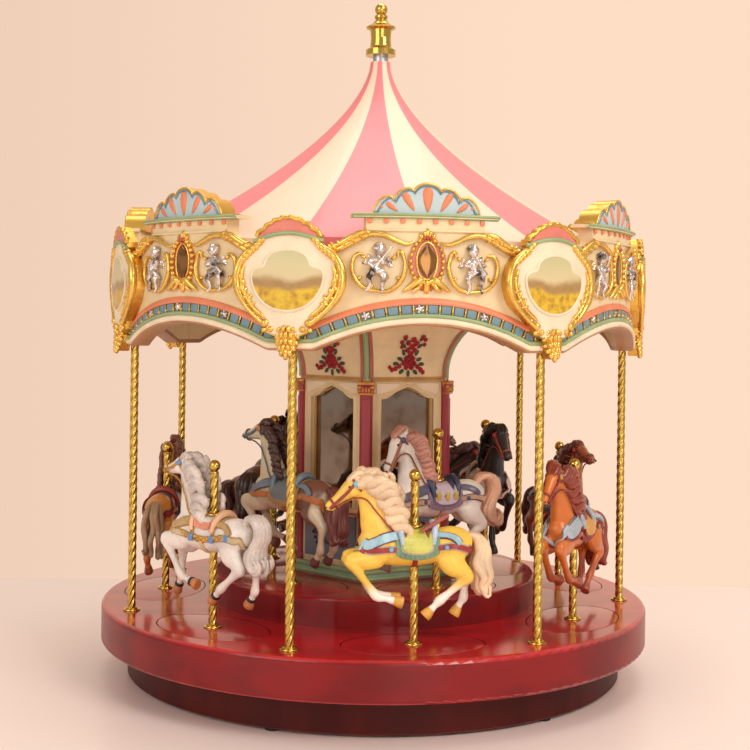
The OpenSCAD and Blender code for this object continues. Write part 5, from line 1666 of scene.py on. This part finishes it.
def mirror_path():
    """Counter-clockwise outline of a mirror: a broad ogee arch on straight sides."""
    arch_line = []
    for k in range(13):
        t = 1 - k / 6
        arch_line.append((MIRROR_W * t, MIRROR_SHOULDER + MIRROR_CROWN * (1 - abs(t)) ** 0.9))
    return [(-MIRROR_W, MIRROR_LOW), (MIRROR_W, MIRROR_LOW)] + arch_line


def column_faces():
    """Mirror mouldings, rails and dado panels."""
    path = mirror_path()
    on_column([trim(path, [(0.0, -1.0), (0.0, 0.9), (0.7, 1.5), (1.5, 1.5), (2.1, 0.7), (3.2, 0.6), (3.5, -0.4)])],
              "mirror_mouldings", cream)
    on_column([trim(path, [(0.3, -5.4), (-0.9, -5.4), (-1.3, -3.9), (-0.9, -3.2), (0.3, -3.2)])],
              "mirror_steps", ochre)
    spandrels = []
    for side in (-1, 1):
        corner = [(side * x, z) for x, z in ((28.0, 228.2), (28.0, 219.6), (24.6, 219.6), (16, 222.4), (9, 225.6),
                                             (4.5, 228.2))]
        spandrels.append(plate(corner[::-side], 1.2, 0.4))
    on_column(spandrels, "spandrels", ivory)
    on_column([block(-32.5, 32.5, -2.2, 1.0, 229.4, 231.4, 0.6), block(-32.5, 32.5, -1.2, 1.0, 231.4, 232.8, 0.3)],
              "cove_fillets", ochre)
    on_column([block(-FACE_HALF, FACE_HALF, -3.4, 0.5, 128.8, 131.5, 0.7),
               block(-27.8, 27.8, -1.7, 0, 89.6, 91.0, 0.4),
               block(-27.8, 27.8, -1.7, 0, 125.4, 126.8, 0.4)], "rails", cream)
    on_column([block(-FACE_HALF, FACE_HALF, -2.4, 0.5, 127.0, 128.7, 0.4)], "rail_lines", rose)
    on_column([block(-27.6, 27.6, -1.4, -0.2, 90.2, 126.6, 0.2)], "dado_panels", dado)


def rose_form(r, seed):
    """A small open rose: a bud with turned petals."""
    parts = [bead(0, -0.75 * r, 0, 0.5 * r, 0.5 * r, 0.5 * r, 8, 6)]
    turn = random.Random(seed).random() * tau
    for k in range(5):
        petal = bead(0, -0.42 * r, 0.56 * r, 0.5 * r, 0.3 * r, 0.42 * r, 8, 6)
        parts.append(moved(petal, Matrix.Rotation(turn + k * tau / 5, 4, "Y")))
    return joined(parts)


def cove_point(x, z, out):
    """A place on the curved cove at height z, leaning with it."""
    a = asin(max(0.0, min(1.0, (z - COVE_START) / COVE_R)))
    back = -COVE_R * (1 - cos(a)) - out * cos(a)
    return at(x, back, z - out * sin(a)) @ Matrix.Rotation(a, 4, "X")


# The spray of roses on a cove panel (across, z, radius) and its leaves (across, z, degrees)
ROSES = [(0, 262.5, 2.6), (-3.8, 260, 2.4), (3.8, 259.5, 2.5), (0.4, 257, 2.7), (-3, 254.2, 2.3), (3.4, 254, 2.3),
         (0.2, 251.2, 2.6), (-2.6, 247.6, 2.4), (2.8, 247.4, 2.5), (-4.6, 244, 2.4), (0, 244.2, 2.7),
         (4.4, 243.6, 2.4), (-2.2, 240.6, 2.3), (2.4, 240.4, 2.3), (-7.8, 264.4, 2.1), (-9.6, 260.4, 2.0),
         (-8.6, 256.6, 1.8), (7.8, 264.6, 2.2), (10.6, 262.4, 2.1), (11.0, 258.4, 1.9), (-8.4, 241.4, 2.1),
         (-11.6, 239.4, 2.1), (-14.6, 238.6, 2.0), (-16.8, 240.6, 1.7), (8.0, 241.0, 2.1), (10.8, 238.6, 2.2),
         (13.0, 236.6, 2.0)]
LEAVES = [(-5.6, 256.4, 50), (5.8, 256, -50), (-5.2, 250.4, 20), (5.2, 250.2, -25), (-6.4, 246.4, 70),
          (6.8, 246, -70), (-4.6, 238.4, 130), (4.6, 238, -130), (0, 237.6, 180), (-6.6, 261.8, 30),
          (6.4, 261.6, -30), (0, 247.6, 0), (-9.6, 243.4, 90), (9.4, 243.2, -95)]

# The ribboned swag on one side of a dado panel (across, z, radius)
KNOTS = [(14, 118.6, 2.2), (17.4, 116.2, 1.9), (11.2, 115.4, 2.0), (14.4, 113.2, 2.0), (17.0, 109.8, 1.7),
         (12.6, 109.2, 1.6), (15.2, 105.6, 1.6), (14.0, 101.8, 1.3), (20.2, 118.8, 1.5), (8.8, 118.6, 1.4)]


def cove_ornaments():
    """A spray of roses and leaves on each cove panel."""
    flowers = [moved(rose_form(r, k), cove_point(x, z, 0.2)) for k, (x, z, r) in enumerate(ROSES)]
    leaves = []
    for x, z, turn in LEAVES:
        leaf = moved(bead(0, -0.7, 2.0, 1.5, 0.8, 2.6, 8, 6), tilt(-turn, "Y"))
        leaves.append(moved(leaf, cove_point(x, z, 0.1)))
    on_column(flowers, "cove_roses", crimson)
    on_column(leaves, "cove_leaves", leaf_green)


def rib(low, high, proud):
    """A rounded band up the corner between two cove panels, from low to high across it."""
    def shape(u, v):
        a = radians(80) * v
        r = (FACE_DIST + COVE_R * (1 - cos(a))) / cos(pi / INNER)
        x = low + (high - low) * (0.5 - 0.5 * cos(u * tau))
        out = proud * sin(u * tau) if u < 0.5 else -3.5
        out -= 0.3 * abs(x)
        start = COVE_START - 3.0 if v == 0 else COVE_START
        return Vector((x, -r - out * cos(a), start + COVE_R * sin(a) - out * sin(a)))
    return form(16, 20, shape)


def on_pillar(half, proud, z0, z1, edge, back=2):
    """A block on a pillar of the column."""
    return block(-half, half, -COLUMN_R - proud, -COLUMN_R + back, z0, z1, edge)


def column_corners():
    """Ribs, capitals, feet and strips of the pillars."""
    on_column([rib(-4.9, -2.2, 0.9), rib(2.2, 4.9, 0.9)], "cove_rib_edges", terracotta, True)
    on_column([rib(-2.2, 2.2, 1.3)], "cove_ribs", mint, True)
    cap = [on_pillar(6.2, 3.4, 227.2, 229.6, 0.6), on_pillar(5.4, 2.6, 225.4, 227.4, 0.5),
           on_pillar(4.6, 2.3, 221.0, 225.6, 0.5), on_pillar(5.6, 2.8, 219.4, 221.0, 0.6)]
    for side in (-1, 1):
        for z, k in ((225.2, 1.0), (222.4, 0.6)):
            cap.append(bead(side * 5.0, -COLUMN_R - 2.2, z, 1.7 * k + 0.3, 1.4, 1.7 * k + 0.2))
    cap += [bead(x, -COLUMN_R - 2.4, 223.2, 0.95, 0.9, 2.3, 8, 6) for x in (-2.4, 0, 2.4)]
    on_column(cap, "capitals", bronze, True)
    on_column([on_pillar(6.0, 2.6, 86.6, 91.0, 0.7), on_pillar(5.4, 1.9, 91.0, 92.6, 0.4)], "pillar_feet", maroon,
              True)
    on_column([on_pillar(3.2, 1.8, 96.0, 216.0, 0.6, back=0)], "pillar_strips", pillar_rose, True)


def dado_garlands():
    """A ribboned swag on each dado panel."""
    ribbons, leaves = [], []
    for side in (-1, 1):
        ribbons += [moved(rose_form(r, k), at(side * x, -1.3, z))
                    for k, (x, z, r) in enumerate(KNOTS)]
        leaves.append(strand([(side * 12.6, -1.8, 112.0, 0.7), (side * 8.4, -2.1, 106.4, 1.0),
                              (side * 3.4, -2.1, 103.2, 1.0), (0, -2.1, 102.4, 1.0)], 0.9, sides=1))
        leaves += [half_shell(side * (10.4 - 3.1 * k), 108.6 - 2.1 * k, 0.9, 2.2, 1.2,
                              turn=side * (20 + 70 * (k % 2)), back=1.4) for k in range(4)]
    on_column(ribbons, "dado_ribbons", dark_rose)
    on_column(leaves, "dado_leaves", leaf_green)


def column_foot():
    """Rounded mouldings on the pentagonal base."""
    angles = [radians(COLUMN_TURN + CORNER_TURN + INNER_STEP * i) for i in range(INNER)]
    corner = [Vector((BASE_R * sin(a), -BASE_R * cos(a), 0)) for a in angles]
    for name, z, grow, thick in (("base_roll", 84.8, -1.2, 2.2), ("base_step", 79.6, 0.4, 1.5)):
        loop = []
        for i in range(INNER):
            a, b = corner[i] * (1 + grow / BASE_R), corner[(i + 1) % INNER] * (1 + grow / BASE_R)
            loop += [(*(a + (b - a) * t).xy, z) for t in (0.02, 0.06, 0.5, 0.94, 0.98)]
        settle(strand(loop, thick, closed=True, sides=3, smooth=3), name, mint, slot="sage_paint", smooth=60)


terracotta = painted("terracotta_paint", lin(180, 106, 82), wash=0.4)
pillar_rose = painted("pillar_rose", lin(172, 62, 72), wash=0.3)
ochre = painted("ochre_paint", lin(204, 156, 88), wash=0.5)
bronze = gilded("bronze_paint", lin(206, 140, 66), lin(110, 60, 26), rough=0.36, metal=0.55)
dado = painted("dado_paint", lin(122, 132, 146), wash=0.45)
dark_rose = painted("dark_rose", lin(104, 24, 36), wash=0.6, shade=0.4)
column_faces()
column_corners()
cove_ornaments()
dado_garlands()
column_foot()


# ---------------------------------------------------------------- floor, light and camera

def even(name, colour, rough=0.6, painted_glow=None):
    """A plain surface; given a glow colour, it glows with painted light where the camera or a mirror sees it,
    brightening towards its right end to that colour.
    """
    f = Finish(name, rough=rough)
    speck = f.noise(8, 2)
    f.set("Base Color", f.mix(speck * 0.1, colour, darker(colour, 0.95)))
    if painted_glow:
        light = f.tree.nodes.new("ShaderNodeLightPath")
        camera_ray = Wire(f, light.outputs["Is Camera Ray"])
        seen = camera_ray.sum("MAXIMUM", camera_ray, Wire(f, light.outputs["Is Glossy Ray"]))
        glow = f.tree.nodes.new("ShaderNodeEmission")
        across = f.axes()[0]
        # Painted light: the glow runs from a duller beige at the wall's left to the glow colour at its right
        f.tree.links.new(f.mix(across.step(-1.0, 1.07), lin(239, 206, 184), painted_glow).socket, glow.inputs["Color"])
        blend = f.tree.nodes.new("ShaderNodeMixShader")
        f.tree.links.new(seen.socket, blend.inputs[0])
        f.tree.links.new(f.shader.outputs[0], blend.inputs[1])
        f.tree.links.new(glow.outputs[0], blend.inputs[2])
        f.tree.links.new(blend.outputs[0], f.tree.nodes["Material Output"].inputs["Surface"])
    return f.mat


# The room, in metres
ROOM_TURN = 9.1         # degrees that the room is turned from the music box
FLOOR_END = 0.33        # where the table stops behind the music box
FLOOR_SIZE = (6.0, 3.4)
WALL_AWAY = 2.6         # the wall, far enough back to walk round the box
WALL_SIZE = (9.0, 4.4)
WALL_MIDDLE = 1.3       # height of its middle

# The camera: its place and turn, and its lens as pixels of a square picture
EYE_AT = (-0.16944, -1.04391, 0.27226)
EYE_TURN = (90, -0.7606, -9.128)
LENS_PIXELS = 1310.165
PICTURE_SIDE = 750
LEVEL_ROW = 325.728     # the row that the camera looks straight at
FILM_SIDE = 36.0


def screen(name, matrix, finish):
    """A large flat surface of the room."""
    bare()
    bpy.ops.mesh.primitive_plane_add(size=1)
    sheet = bpy.context.object
    sheet.name = name
    sheet.data.transform(tilt(ROOM_TURN, "Z").inverted() @ matrix)
    sheet.data.materials.append(finish)
    return sheet


def floor_and_wall():
    """The table top and the wall far behind it."""
    floor = screen("floor", at(0, FLOOR_END - FLOOR_SIZE[1] / 2, 0)
                   @ Matrix.Diagonal((*FLOOR_SIZE, 1, 1)),
                   even("floor_paint", lin(246, 229, 221), rough=0.35))
    # The wall glows with painted light where the camera or a mirror sees it
    wall = screen("wall", at(0, WALL_AWAY, WALL_MIDDLE) @ Matrix.Rotation(pi / 2, 4, "X")
                  @ Matrix.Diagonal((*WALL_SIZE, 1, 1)),
                  even("wall_paint_and_glow", lin(240, 206, 180), rough=0.9, painted_glow=lin(254, 222, 196)))


def lamp(name, place, aim, size, power, colour):
    """A soft rectangular lamp that looks at a point."""
    bare()
    bpy.ops.object.light_add(type="AREA", location=place)
    light = bpy.context.object
    light.name = name
    light.data.shape = "RECTANGLE"
    light.data.size, light.data.size_y = size
    light.data.energy = power
    light.data.color = colour
    light.rotation_euler = (Vector(aim) - Vector(place)).to_track_quat("-Z", "Y").to_euler()


def light_and_camera():
    """Room light, four lamps and the camera."""
    world = bpy.data.worlds.new("room")
    bpy.context.scene.world = world
    world.use_nodes = True
    world.node_tree.nodes["Background"].inputs[0].default_value = (1.0, 0.9, 0.82, 1)
    world.node_tree.nodes["Background"].inputs[1].default_value = 0.55
    lamp("key", (1.0, -1.5, 1.5), (0, 0, 0.25), (0.9, 0.9), 21, (1.0, 0.93, 0.86))
    lamp("fill", (-1.4, -1.2, 0.9), (0, 0, 0.25), (1.2, 1.0), 9, (1.0, 0.93, 0.88))
    lamp("top", (0.2, 0.3, 1.9), (0, 0, 0.3), (1.4, 1.2), 14, (1.0, 0.95, 0.9))
    lamp("front", (0.25, -2.2, 0.4), (0, 0, 0.2), (0.9, 0.6), 5.5, (1.0, 0.95, 0.9))
    bare()
    bpy.ops.object.camera_add(location=EYE_AT)
    eye = bpy.context.object
    eye.name = "eye"
    eye.rotation_euler = [radians(turn) for turn in EYE_TURN]
    eye.data.sensor_width = FILM_SIDE
    eye.data.lens = LENS_PIXELS / PICTURE_SIDE * FILM_SIDE
    eye.data.shift_y = (LEVEL_ROW - PICTURE_SIDE / 2) / PICTURE_SIDE
    eye.data.clip_start = 0.01
    bpy.context.scene.camera = eye
    bpy.context.scene.view_settings.view_transform = "Standard"


floor_and_wall()
light_and_camera()
